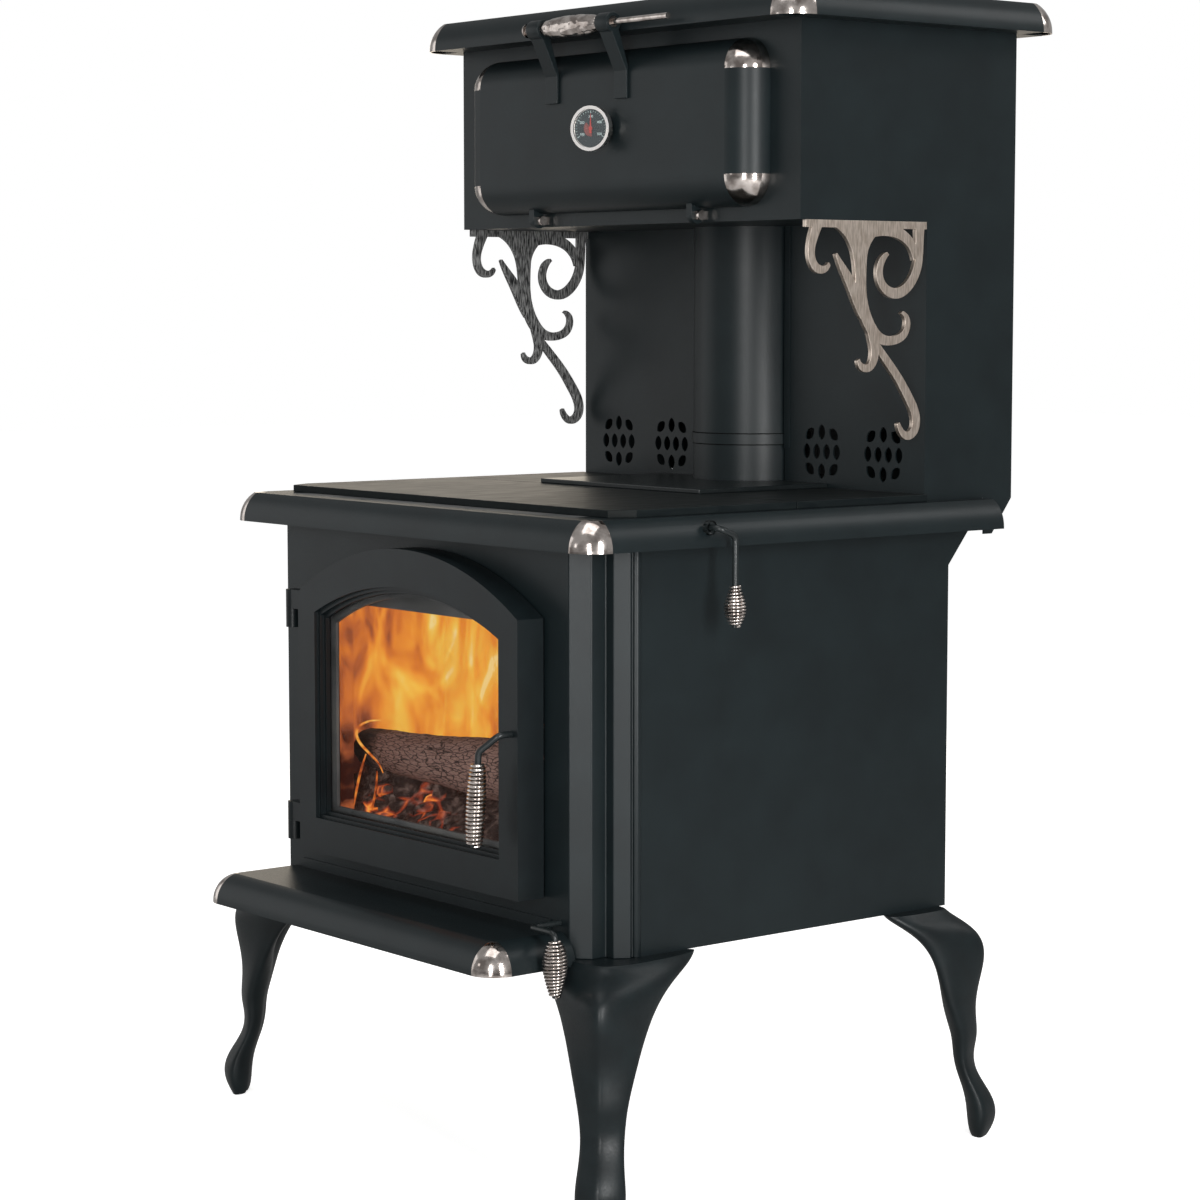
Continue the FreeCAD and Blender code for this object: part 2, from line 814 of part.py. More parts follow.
keep(padBody("fire_door_glass", "XZ", [openingLoop(2 * d.glassGap)], (glassFront, glassFront + d.glassWall)))
retainerFront = glassFront + d.glassWall
keep(padBody("fire_door_glass_retainer", "XZ",
             [openingLoop(2 * d.glassGap), openingLoop(d.retainerWidth)],
             (retainerFront, retainerFront + d.retainerWall)))
keep(padBody("fire_door_gasket", "XZ",
             [doorLoop(d.gasketInset + d.seatGap), doorLoop(d.gasketInset + d.gasketWidth - d.seatGap)],
             (doorBack - d.gasketSink, front - d.seatGap)))

hingePieces = []
for place, height in hingeHeights:
    pinTop = height + 2 * d.knuckleHeight + d.seatGap
    foot = box(f"hingeFoot_{place}", (hingeX - 2 * d.knuckleRadius, hingeX + 2 * d.knuckleRadius),
               (front - d.hingePlateWall, front), (height, height + d.knuckleHeight))
    arm = box(f"hingeArm_{place}", (hingeX - d.knuckleRadius, hingeX + d.knuckleRadius),
              (hingeY, front), (height, height + d.knuckleHeight))
    knuckle = cylinder(f"hingeKnuckle_{place}", d.knuckleRadius, d.knuckleHeight,
                       (hingeX, hingeY, height), (0, 0, 1))
    pin = cylinder(f"hingePin_{place}", d.hingePinRadius, pinTop - height,
                   (hingeX, hingeY, height), (0, 0, 1))
    hingePieces.append(fuse(f"hinge_{place}", foot, arm, knuckle, pin))
keep(group("fire_door_hinges", hingePieces))

# Latch rod with its tongue, hanging in a coil grip
latchTurnY = float(doorFront - d.latchReach)
latchAxis = Vector(float(latchX), 0, float(latchZ))
tongueFront = float(front + d.frontWall + d.tongueGap)
tongueBack = tongueFront + d.tongueWall.value
gripTop = latchAxis + Vector(-d.latchDrift.value, latchTurnY, -d.latchDrop.value)
gripEnd = gripTop + Vector(-d.latchDrift.value / 2, 0, -d.latchGripLength.value - d.latchRodRadius.value * 3)
latchPath = [latchAxis + Vector(0, tongueBack, 0),
             latchAxis + Vector(0, latchTurnY / 2 + float(doorFront) / 2, 0),
             gripTop + Vector(0, 0, d.latchRodRadius.value), gripEnd]
latchRod = bentRod(latchPath, d.latchRodRadius.value, d.latchBend.value)
tongue = Part.makeBox(d.tongueWidth.value, d.tongueWall.value, d.tongueLength.value + d.tongueWidth.value / 2,
                      latchAxis + Vector(-d.tongueWidth.value / 2, tongueFront, -d.tongueLength.value))
keep(formed("fire_door_latch", latchRod.fuse(tongue).removeSplitter()))
gripAlong = (gripEnd - latchPath[2]).normalize()
latchEnd = d.latchRodRadius.value + d.seatGap.value + d.latchWire.value
latchCoil, latchGap = coilGrip(gripEnd - gripAlong * (d.latchGripLength.value + d.latchWire.value), gripAlong,
                               d.latchGripLength.value, latchTurns, d.latchWire.value, latchEnd,
                               d.latchGripRadius.value - d.latchWire.value, 0.55, 0.4)
keep(formed("fire_door_grip", latchCoil))

# Ash shelf

shelfHalf = d.shelfWidth / 2
shelfBottom = base - d.shelfDrop
shelfTop = shelfBottom + d.shelfHeight
shelfFront = front - d.shelfReach
leafFront = shelfFront + d.shelfCorner
leafHalf = shelfHalf - d.shelfCorner
frontNose = noseLoop(shelfFront, shelfBottom, d.shelfHeight, d.shelfNose, d.sheetWall, 1,
                     leafFront - d.sheetWall, leafFront + d.sheetWall)
shelfPieces = [padBody("shelfFrontNose", "YZ", [frontNose], (-leafHalf, leafHalf)),
               box("shelfLeaf", (-leafHalf, leafHalf), (leafFront, front),
                   (shelfTop - d.sheetWall, shelfTop)),
               box("shelfFlange", (d.shelfFlange - leafHalf, leafHalf - d.shelfFlange),
                   (front - d.sheetWall, front), (shelfTop - d.sheetWall, shelfTop + d.shelfFlange))]
shelfCaps = []
for side, hand in hands:
    endNose = noseLoop(side * shelfHalf, shelfBottom, d.shelfHeight, d.shelfNose, d.sheetWall, -side,
                       side * leafHalf, side * (leafHalf - d.sheetWall))
    shelfPieces.append(padBody(f"shelfEndNose{hand.title()}", "XZ", [endNose], (leafFront, front)))
    shelfCaps.append(turnedCap(f"shelfCap{hand.title()}", (side * leafHalf, leafFront, shelfBottom),
                               d.shelfCorner, d.shelfHeight, d.shelfNose, d.sheetWall, 2 if side < 0 else 3))
keep(fuse("ash_shelf", *shelfPieces))
keep(group("ash_shelf_caps", shelfCaps))

# Air control: a rod pulled out of the front plate over the end of the shelf, its gate inside the firebox
airEntry = Vector(float(airX), float(front + d.airInside), float(airZ))
airCorner = Vector(float(airX), float(front - d.airOut), float(airZ))
airElbow = airCorner + Vector(d.airAside.value, 0, 0)
airEnd = airElbow + Vector(0, 0, -d.airHang.value - d.airGripLength.value - d.leverWire.value)
airRod = bentRod([airEntry, airCorner, airElbow, airEnd], d.leverRodRadius.value, d.leverBend.value)
gate = Part.makeBox(d.gateWidth.value, d.gateWall.value, d.gateHeight.value,
                    airEntry - Vector(d.gateWidth.value / 2, d.gateWall.value, d.leverRodRadius.value))
keep(formed("air_lever", airRod.fuse(gate).removeSplitter()))
down = Vector(0, 0, -1)
leverEnd = d.leverRodRadius.value + d.seatGap.value + d.leverWire.value
airCoil, airGap = coilGrip(airElbow + down * d.airHang.value, down, d.airGripLength.value, airTurns,
                           d.leverWire.value, leverEnd, d.airGripRadius.value - d.leverWire.value, 0.4, 1)
keep(formed("air_lever_grip", airCoil))

# Cooktop

trimOuter = half + d.trimSideReach
trimFront = front - d.trimReach
trimInnerHalf = trimOuter - d.trimCorner
trimInnerFront = trimFront + d.trimCorner
trimFlangeInner = half - d.gussetWall
frontTrimLoop = noseLoop(trimFront, casingTop, d.trimHeight, d.trimNose, d.sheetWall, 1, front, shellFront)
keep(padBody("cooktop_trim_front", "YZ", [frontTrimLoop], (-trimInnerHalf, trimInnerHalf)))
sideTrims = []
trimCaps = []
for side, hand in hands:
    sideLoop = noseLoop(side * trimOuter, casingTop, d.trimHeight, d.trimNose, d.sheetWall, -side,
                        side * trimFlangeInner, side * shellHalf)
    sideTrim = padBody(f"sideTrimSheet{hand.title()}", "XZ", [sideLoop], (trimInnerFront, front + d.trimRear))
    mitre = box(f"sideTrimMitre{hand.title()}", mirroredSpan(side, shellHalf - 1, trimInnerHalf),
                (trimInnerFront, shellFront), (casingTop, trimTop))
    openings = [mitre]
    if side > 0:
        openings.append(cylinder("damperTrimBore", d.leverRodRadius + d.runningGap,
                                 d.trimSideReach + d.gussetWall, (trimFlangeInner, damperY, damperZ),
                                 (1, 0, 0)))
    sideTrims.append(cut(f"sideTrim{hand.title()}", sideTrim, *openings))
    trimCaps.append(turnedCap(f"trimCap{hand.title()}", (side * trimInnerHalf, trimInnerFront, casingTop),
                              d.trimCorner, d.trimHeight, d.trimNose, d.sheetWall, 2 if side < 0 else 3))
keep(group("cooktop_trim_sides", sideTrims))
keep(group("cooktop_trim_caps", trimCaps))

plateHalf = half + d.plateOverhang
seamY = front + d.plateSeam
hoodHalf = d.hoodWidth / 2
panelInner = hoodHalf - d.sheetWall
columnY = front + d.columnFront
pipeY = columnY + d.pipeSetback
plateFront = front + d.plateFront
clipHalf = plateHalf - d.plateClipAcross
clipLine = plateFront + d.plateClipBack
keep(padBody("cooktop_front_plate", "XY",
             [[(-clipHalf, plateFront), (clipHalf, plateFront), (plateHalf, clipLine), (plateHalf, seamY),
               (-plateHalf, seamY), (-plateHalf, clipLine)]], (trimTop, plateTop)))
rearPlate = padBody("rearPlateSlab", "XY",
                    [[(-plateHalf, seamY + d.plateSeamGap), (plateHalf, seamY + d.plateSeamGap),
                      (plateHalf, columnY), (panelInner - d.seatGap, columnY),
                      (panelInner - d.seatGap, front + d.plateRear),
                      (d.seatGap - panelInner, front + d.plateRear),
                      (d.seatGap - panelInner, columnY), (-plateHalf, columnY)]],
                    (trimTop, plateTop))
flueHole = cylinder("flueHole", d.pipeRadius - 2 * d.pipeWall, d.plateWall, (0, pipeY, trimTop), (0, 0, 1))
keep(cut("cooktop_rear_plate", rearPlate, flueHole))

flueBaseHalf = d.flueBaseWidth / 2
flueBaseTop = plateTop + d.flueBaseWall
flueBase = box("flueBaseSlab", (-flueBaseHalf, flueBaseHalf), (front + d.flueBaseFront, front + d.plateRear),
               (plateTop, flueBaseTop))
baseHole = cylinder("flueBaseHole", d.pipeRadius + d.runningGap, d.flueBaseWall,
                    (0, pipeY, plateTop), (0, 0, 1))
keep(cut("flue_base_plate", flueBase, baseHole))

pipeTop = hoodTop + d.pipeAbove
pipeTube = cylinder("pipeTube", d.pipeRadius, pipeTop - plateTop, (0, pipeY, plateTop), (0, 0, 1))
pipeBead = cylinder("pipeBead", d.pipeRadius + d.pipeBeadRise, d.pipeBeadHeight,
                    (0, pipeY, plateTop + d.pipeBeadLift), (0, 0, 1))
pipeBore = cylinder("pipeBore", d.pipeRadius - d.pipeWall, pipeTop - plateTop,
                    (0, pipeY, plateTop), (0, 0, 1))
keep(cut("flue_pipe", fuse("pipeOutside", pipeTube, pipeBead), pipeBore))

# Damper lever: a rod under the cooktop with its blade, and a hanging coil grip outside the trim
damperAxis = Vector(0, float(damperY), float(damperZ))
damperElbow = damperAxis + Vector(float(trimOuter + d.damperOut), 0, 0)
damperCorner = damperElbow + Vector(0, d.damperBack.value, -d.damperLower.value)
damperEnd = damperCorner + Vector(0, 0, -d.damperHang.value - d.damperGripLength.value - d.leverWire.value)
bladeHalf = d.bladeWidth.value / 2
damperRod = bentRod([damperAxis + Vector(-bladeHalf, 0, 0), damperElbow, damperCorner, damperEnd],
                    d.leverRodRadius.value, d.leverBend.value)
blade = Part.makeBox(d.bladeWidth.value, d.bladeWall.value, d.bladeLength.value,
                     damperAxis + Vector(-bladeHalf, -d.bladeWall.value / 2, -d.bladeLength.value))
keep(formed("damper_lever", damperRod.fuse(blade).removeSplitter()))
damperCoil, damperGap = coilGrip(damperCorner + down * d.damperHang.value, down, d.damperGripLength.value,
                                 damperTurns, d.leverWire.value, leverEnd,
                                 d.damperGripRadius.value - d.leverWire.value, 0.55, 1.2)
keep(formed("damper_lever_grip", damperCoil))

# Hood

hoodFront = front + d.hoodFront
hoodRear = front + d.hoodRear
trimRear = front + d.trimRear
tailFront = trimRear + d.columnGap
tailBottom = trimTop - d.tailDrop
for side, hand in hands:
    outline = [(hoodFront, hoodBottom), (columnY, hoodBottom), (columnY, trimTop), (tailFront, trimTop),
               (tailFront, tailBottom), (tailFront + d.tailWidth, tailBottom),
               (hoodRear, tailBottom + d.tailSlope + d.plateWall), (hoodRear, hoodTop), (hoodFront, hoodTop)]
    keep(padBody(f"hood_side_{hand}", "YZ", [outline], mirroredSpan(side, panelInner, hoodHalf)))

keep(box("hood_back", (-panelInner, panelInner), (hoodRear - d.sheetWall, hoodRear), (plateTop, hoodTop)))
hoodSheet = box("hoodFloorSheet", (-panelInner, panelInner),
                (hoodFront + d.sheetWall, hoodRear - d.sheetWall), (hoodBottom, hoodBottom + d.sheetWall))
floorHole = cylinder("hoodFloorHole", d.pipeRadius + d.pipeGap, d.sheetWall,
                     (0, pipeY, hoodBottom), (0, 0, 1))
keep(cut("hood_floor", hoodSheet, floorHole))
frameHalf = d.frameWidth / 2
keep(padBody("hood_front_frame", "XZ",
             [rectangle((-panelInner, panelInner), (hoodBottom, hoodTop)),
              rectangle((-frameHalf, frameHalf), (hoodBottom + d.frameSill, hoodTop - d.frameHead))],
             (hoodFront, hoodFront + d.sheetWall)))
topSheet = box("hoodTopSheet", (-hoodHalf, hoodHalf), (hoodFront, hoodRear), (hoodTop, hoodTop + d.sheetWall))
topHole = cylinder("hoodTopHole", d.pipeRadius + d.pipeGap, d.sheetWall, (0, pipeY, hoodTop), (0, 0, 1))
keep(cut("hood_top", topSheet, topHole))


# One leaf-shaped slot between two arcs, leaning clockwise from upright by its tilt
def leafCutter(x, z, length, tilt):
    lean = math.radians(tilt)
    along = Vector(math.sin(lean), 0, math.cos(lean)) * (length / 2)
    aside = Vector(math.cos(lean), 0, -math.sin(lean)) * (d.leafWidth.value / 2)
    middle = Vector(x, float(columnY) - 1, z)
    edges = [Part.Arc(middle - along, middle + aside, middle + along).toShape(),
             Part.Arc(middle + along, middle - aside, middle - along).toShape()]
    return Part.Face(Part.Wire(edges)).extrude(Vector(0, d.sheetWall.value + 2, 0))


# A rosette of ten leaves: shares of the pitch across and up, and tilt
rosette = [(share, 0, 0) for share in (-1.5, -0.5, 0.5, 1.5)]
for level in (-1, 1):
    rosette += [(-1.2, level * 0.9, 50 * level), (0, level, 0), (1.2, level * 0.9, -50 * level)]

panelEdge = d.pipeRadius + d.columnGap
for side, hand in hands:
    cutters = []
    for middle in (d.ventInner.value, d.ventOuter.value):
        for across, up, tilt in rosette:
            cutters.append(leafCutter(side * middle + across * d.ventPitchAcross.value,
                                      float(plateTop + d.ventLift) + up * d.ventPitchUp.value,
                                      d.leafLength.value, tilt))
    vents = formed(f"vents{hand.title()}", Part.makeCompound(cutters))
    sheetPanel = box(f"columnSheet{hand.title()}", mirroredSpan(side, panelEdge, panelInner),
                     (columnY, columnY + d.sheetWall), (plateTop, hoodBottom))
    strip = box(f"columnStrip{hand.title()}", mirroredSpan(side, panelEdge, panelEdge + d.flangeWidth),
                (columnY - d.sheetWall, columnY), (plateTop + d.flangeLift, hoodBottom))
    baseNotch = box(f"columnNotch{hand.title()}", mirroredSpan(side, panelEdge - 1, flueBaseHalf + d.seatGap),
                    (columnY - 1, columnY + d.sheetWall + 1), (plateTop - 1, flueBaseTop))
    keep(cut(f"column_panel_{hand}", fuse(f"columnPlain{hand.title()}", sheetPanel, strip), baseNotch, vents))

# Cornice round the top of the hood

corniceBottom = hoodTop - d.corniceHeight
corniceFront = hoodFront - d.corniceReach
corniceRear = hoodRear + d.corniceReach
corniceOuter = hoodHalf + d.corniceSideReach
corniceInnerHalf = corniceOuter - d.corniceCorner
corniceInnerFront = corniceFront + d.corniceCorner
corniceInnerRear = corniceRear - d.corniceCorner


def corniceLoop(edge, inward, hoodWall):
    return noseLoop(edge, corniceBottom, d.corniceHeight, d.corniceNose, d.sheetWall, inward,
                    hoodWall, hoodWall)


corniceRun = (-corniceInnerHalf, corniceInnerHalf)
keep(padBody("cornice_front", "YZ", [corniceLoop(corniceFront, 1, hoodFront)], corniceRun))
keep(padBody("cornice_rear", "YZ", [corniceLoop(corniceRear, -1, hoodRear)], corniceRun))
corniceSides = []
corniceCaps = []
for side, hand in hands:
    sideLoop = corniceLoop(side * corniceOuter, -side, side * hoodHalf)
    corniceSides.append(padBody(f"corniceSide{hand.title()}", "XZ", [sideLoop],
                                (corniceInnerFront, corniceInnerRear)))
    for capY, quarters in ((corniceInnerFront, (2, 3)), (corniceInnerRear, (1, 0))):
        corniceCaps.append(turnedCap(f"corniceCap{len(corniceCaps) + 1}",
                                     (side * corniceInnerHalf, capY, corniceBottom), d.corniceCorner,
                                     d.corniceHeight, d.corniceNose, d.sheetWall,
                                     quarters[0] if side < 0 else quarters[1]))
keep(group("cornice_sides", corniceSides))
keep(group("cornice_caps", corniceCaps))

# Scroll brackets: strokes of a cast scroll, measured back and down from the front end of a top bar that is
# scrollDrawn long, each with its half width at every point
scrollDrawn = 201
strokes = (
    # front curl
    (((20, -4), (11, -27), (10, -44), (18, -57), (30, -59), (39, -52)), (7.5, 6, 5.4, 5.4, 4.3, 2.2)),
    # thorn
    (((50, -40), (62, -58), (74, -75), (84, -95), (96, -116)), (1.6, 5, 7, 6.5, 5.4)),
    # stem, flaring up into the bar and ending in a hook
    (((89, -9), (89, -19), (89, -36), (90, -58), (91, -80), (96, -105), (107, -127), (125, -142), (147, -144),
      (166, -135), (170, -122), (160, -110)),
     (40, 25, 13.5, 9.7, 8.6, 8.1, 8.1, 6.5, 5.4, 4.9, 4.3, 2.2)),
    # rear scroll with the band that ties it to the stem
    (((108, -13), (141, -11), (169, -22), (184, -44)), (7.5, 7.5, 6.5, 6.5)),
    (((190, -5), (189, -31), (186, -55), (173, -76), (152, -87), (131, -81), (122, -66), (125, -49),
      (136, -39)),
     (7.5, 6.5, 6.5, 6.5, 6.5, 5.9, 5.4, 4.9, 2.2)),
    # lower hook
    (((107, -127), (114, -149), (114, -166), (105, -177), (94, -176), (88, -167)),
     (5.4, 6.5, 5.9, 4.9, 4.3, 2.2)),
    # tail
    (((113, -144), (134, -167), (156, -191), (175, -217), (186, -240), (183, -255), (170, -261), (160, -254),
      (156, -245)),
     (4.3, 5.4, 5.9, 6.5, 6.5, 5.9, 4.9, 3.8, 2.2)),
)
for side, hand in hands:
    scrollX = float(hoodHalf - d.scrollWall) if side > 0 else -hoodHalf.value
    corner = Vector(scrollX, float(columnY - d.scrollLength), hoodBottom.value)
    bar = Part.makeBox(d.scrollWall.value, d.scrollLength.value, d.scrollBar.value,
                       corner - Vector(0, 0, d.scrollBar.value))
    thickness = Vector(d.scrollWall.value, 0, 0)
    stretch = d.scrollLength.value / scrollDrawn
    pieces = []
    for points, halfWidths in strokes:
        line = [corner + Vector(0, back, up) * stretch for back, up in points]
        widths = [halfWidth * stretch for halfWidth in halfWidths]
        pieces.append(ribbon(line, widths).extrude(thickness))
    keep(formed(f"scroll_bracket_{hand}", bar.multiFuse(pieces).removeSplitter()))

# Warming door

warmHalf = d.warmWidth / 2
warmBottom = hoodBottom + d.warmLift
warmTop = warmBottom + d.warmHeight
warmBack = hoodFront - d.seatGap
warmFace = warmBack - d.warmDepth
skirt = d.warmDepth - d.warmRadius
warmCoreHalf = warmHalf - d.warmRadius
warmCoreLow = warmBottom + d.warmRadius
warmCoreHigh = warmTop - d.warmRadius
roundStart = warmBack - skirt
inside = d.warmRadius - d.sheetWall


# Section of one rounded edge of the door: across the door's thickness and out to the edge
def edgeLoop(edge, core, outward, alongFirst):
    turn = -outward if alongFirst else outward
    points = [(warmBack, edge), (roundStart, edge, d.warmRadius, -turn), (warmFace, core),
              (warmFace + d.sheetWall, core, inside, turn), (roundStart, edge - outward * d.sheetWall),
              (warmBack, edge - outward * d.sheetWall)]
    if alongFirst:
        return points
    return [(point[1], point[0]) + point[2:] for point in points]


doorSheet = [box("warmFace", (-warmCoreHalf, warmCoreHalf), (warmFace, warmFace + d.sheetWall),
                 (warmCoreLow, warmCoreHigh)),
             padBody("warmEdgeTop", "YZ", [edgeLoop(warmTop, warmCoreHigh, 1, True)],
                     (-warmCoreHalf, warmCoreHalf)),
             padBody("warmEdgeBottom", "YZ", [edgeLoop(warmBottom, warmCoreLow, -1, True)],
                     (-warmCoreHalf, warmCoreHalf))]
warmCaps = []
for side, hand in hands:
    doorSheet.append(padBody(f"warmEdge{hand.title()}", "XY",
                             [edgeLoop(side * warmHalf, side * warmCoreHalf, side, False)],
                             (warmCoreLow, warmCoreHigh)))
    for capZ, quarters in ((warmCoreHigh, (1, 0)), (warmCoreLow, (2, 3))):
        warmCaps.append(ballCap(f"warmCap{len(warmCaps) + 1}", (side * warmCoreHalf, roundStart, capZ),
                                d.warmRadius, skirt, d.sheetWall, quarters[0] if side < 0 else quarters[1]))
keep(fuse("warming_door", *doorSheet))
keep(group("warming_door_caps", warmCaps))

hookY = hoodFront - d.hookReach
hookZ = warmBottom - d.hookDrop
hooks = []
pins = []
for side, hand in hands:
    hookX = side * d.hookSpread
    name = hand.title()
    eye = cylinder(f"hookEye{name}", d.hookRadius, d.hookWidth, (hookX - d.hookWidth / 2, hookY, hookZ),
                   (1, 0, 0))
    tab = box(f"hookTab{name}", (hookX - d.hookWidth / 2, hookX + d.hookWidth / 2),
              (hookY - d.hookRadius, hookY + d.hookRadius / 2), (hookZ, warmBottom + d.hookRadius))
    hookBore = cylinder(f"hookBore{name}", d.hookPinRadius + d.runningGap, d.hookWidth + 2,
                        (hookX - d.hookWidth / 2 - 1, hookY, hookZ), (1, 0, 0))
    doorRound = cylinder(f"hookDoor{name}", d.warmRadius, d.hookWidth + 2,
                         (hookX - d.hookWidth / 2 - 1, roundStart, warmCoreLow), (1, 0, 0))
    hooks.append(cut(f"hook{name}", fuse(f"hookBody{name}", eye, tab), hookBore, doorRound))
    earStart = hookX + d.hookWidth / 2 + d.seatGap
    ear = box(f"pinEar{name}", (earStart, earStart + d.earWall), (hookY - d.hookRadius / 2, hoodFront),
              (hookZ - d.hookRadius / 2, hookZ + d.hookRadius / 2))
    pinStart = hookX - d.hookWidth / 2 - d.seatGap
    pinEnd = earStart + d.earWall
    pin = cylinder(f"pinShank{name}", d.hookPinRadius, pinEnd - pinStart, (pinStart, hookY, hookZ), (1, 0, 0))
    head = cylinder(f"pinHead{name}", d.pinHeadRadius, d.pinHeadWall, (pinEnd, hookY, hookZ), (1, 0, 0))
    tail = cylinder(f"pinTail{name}", d.pinHeadRadius, d.pinHeadWall,
                    (pinStart - d.pinHeadWall, hookY, hookZ), (1, 0, 0))
    pins.append(fuse(f"pin{name}", ear, pin, head, tail))
keep(group("warming_door_hinge_hooks", hooks))
keep(group("warming_door_hinge_pins", pins))

# Handle on the warming door
barY = warmFace - d.barReach
barZ = warmTop + d.barRise
straps = []
for place, middle in (("Left", d.strapLeft), ("Right", d.strapRight)):
    span = (middle - d.strapWidth / 2, middle + d.strapWidth / 2)
    footLow = warmTop - d.strapFootDrop
    bendLow = warmTop - d.strapBendDrop
    outline = [(warmFace, footLow), (warmFace, bendLow),
               (barY + d.strapEyeRadius / 2, barZ),
               (barY - d.strapEyeRadius / 2, barZ - d.strapEyeRadius / 2),
               (warmFace - d.strapWall, bendLow - d.strapWall), (warmFace - d.strapWall, footLow)]
    blade = padBody(f"strapBlade{place}", "YZ", [outline], span)
    eye = cylinder(f"strapEye{place}", d.strapEyeRadius, d.strapWidth, (span[0], barY, barZ), (1, 0, 0))
    bore = cylinder(f"strapBore{place}", d.barRadius + d.runningGap, d.strapWidth,
                    (span[0], barY, barZ), (1, 0, 0))
    straps.append(cut(f"strap{place}", fuse(f"strapWhole{place}", blade, eye), bore))
keep(group("warming_door_handle_straps", straps))

ballLeft = d.ballCentre - d.ballRadius
gripSpan = (d.gripRight - d.gripLeft) / 2
gripRise = d.gripRadius - d.barRadius
gripSwell = (gripSpan * gripSpan + gripRise * gripRise) / (2 * gripRise)
shoulder = d.strapRight + d.strapWidth / 2
barLoop = [(0, ballLeft), (0, d.rodEnd), (d.rodRadius, d.rodEnd), (d.rodRadius, shoulder),
           (d.barRadius, shoulder), (d.barRadius, d.gripRight, gripSwell, -1), (d.barRadius, d.gripLeft),
           (d.barRadius, d.ballCentre), (d.ballRadius, d.ballCentre, d.ballRadius, -1)]
bar = turnedBody("warming_door_handle_bar", barLoop, 360)
bar.Placement = Placement(Vector(), Rotation(Vector(0, 1, 0), 90))
bindPlace(bar, 0, barY, barZ)
keep(bar)

# Thermometer, its face turned a little to the right on a conical back
dialX = d.dialPlace
dialZ = warmBottom + d.dialLift
rimFront = d.coneLength + d.dialDepth
rimInner = d.dialRadius - d.dialRim
headLoop = [(0, -d.stemLength), (d.stemRadius, -d.stemLength), (d.stemRadius, 0),
            (d.dialRadius, d.coneLength), (d.dialRadius, rimFront), (rimInner, rimFront),
            (rimInner, rimFront - d.dialSink), (0, rimFront - d.dialSink)]
head = turnedBody("thermometerHead", headLoop, 360)
dialTilt = Rotation(Vector(0, 0, 1), d.dialTurn.value) * Rotation(Vector(1, 0, 0), 90)
head.Placement = Placement(Vector(), dialTilt)
bindPlace(head, dialX, warmFace - d.stemRadius / 2, dialZ)
behindFace = box("thermometerTrim", (dialX - d.dialRadius, dialX + d.dialRadius),
                 (warmFace, warmFace + d.warmDepth), (dialZ - d.dialRadius, dialZ + d.dialRadius))
keep(cut("thermometer_case", head, behindFace))

needleLoop = [(-d.needleWidth / 2, -d.needleTail), (d.needleWidth / 2, -d.needleTail), (0, d.needleLength)]
needleBlade = padBody("needleBlade", "XY", [needleLoop], (d.seatGap, d.seatGap + d.needleWall))
needleHub = cylinder("needleHub", d.needleHub, d.needleWall, (0, 0, d.seatGap), (0, 0, 1))
needle = fuse("thermometer_needle", needleBlade, needleHub)
dialFace = Vector(float(dialX), float(warmFace - d.stemRadius / 2), float(dialZ))
dialFace += dialTilt.multVec(Vector(0, 0, float(rimFront - d.dialSink)))
needle.Placement = Placement(dialFace, dialTilt)
keep(needle)

# Legs: cast cabriole legs, each section at a share of the leg's height below the casing
# share, ridge, wing tip back, wing tip aside, inner ridge, measured along the diagonal from the foot
legSections = (
    (0.0, -42, -150, 92, -118),
    (0.09, -6, -105, 72, -82),
    (0.19, 7, -70, 54, -52),
    (0.37, -1, -38, 40, -44),
    (0.56, -1, -19, 29, -33),
    (0.75, 5, -9, 26, -22),
    (0.86, 22, 4, 29, -14),
    (0.92, 23, 5, 29, -12),
    (1.0, 13, 4, 20, -5),
)
# the wings of the rear legs are cut shorter, fading to the full section at wingEnd
wingEnd = 0.37
for end, footPlace, outward, wing in (("front", d.footFront, -1, 1), ("rear", d.footRear, 1, 0.66)):
    for side, hand in hands:
        foot = Vector(side * float(half + d.footOut), float(front + footPlace), 0)
        ridge = Vector(side, outward, 0).normalize()
        aside = Vector(-ridge.y, ridge.x, 0)
        wires = []
        for share, out, tipBack, tipAside, inner in legSections:
            trim = wing + (1 - wing) * min(share / wingEnd, 1)
            tipBack = out + (tipBack - out) * trim
            tipAside = tipAside * trim
            level = foot + Vector(0, 0, base.value * (1 - share))
            spots = [(out, 0), ((out * 2 + tipBack) / 3, tipAside * 0.55), (tipBack, tipAside),
                     ((inner * 2 + tipBack) / 3 - 4, tipAside * 0.45), (inner, 0)]
            spots += [(back, -away) for back, away in spots[-2:0:-1]]
            curve = Part.BSplineCurve()
            curve.interpolate([level + ridge * back + aside * away for back, away in spots],
                              PeriodicFlag=True)
            wires.append(Part.Wire(curve.toShape()))
        leg = Part.makeLoft(wires, True, False)
        if end == "front":
            shelfRoom = Vector(float(shelfHalf + d.seatGap), d.shelfReach.value,
                               float(d.shelfDrop + d.seatGap))
            shelfStart = Vector(min(side, 0) * shelfRoom.x, float(shelfFront), float(shelfBottom - d.seatGap))
            leg = leg.cut(Part.makeBox(*shelfRoom, shelfStart))
        keep(formed(f"leg_{end}_{hand}", leg))

# Check every object, then write each sub-part

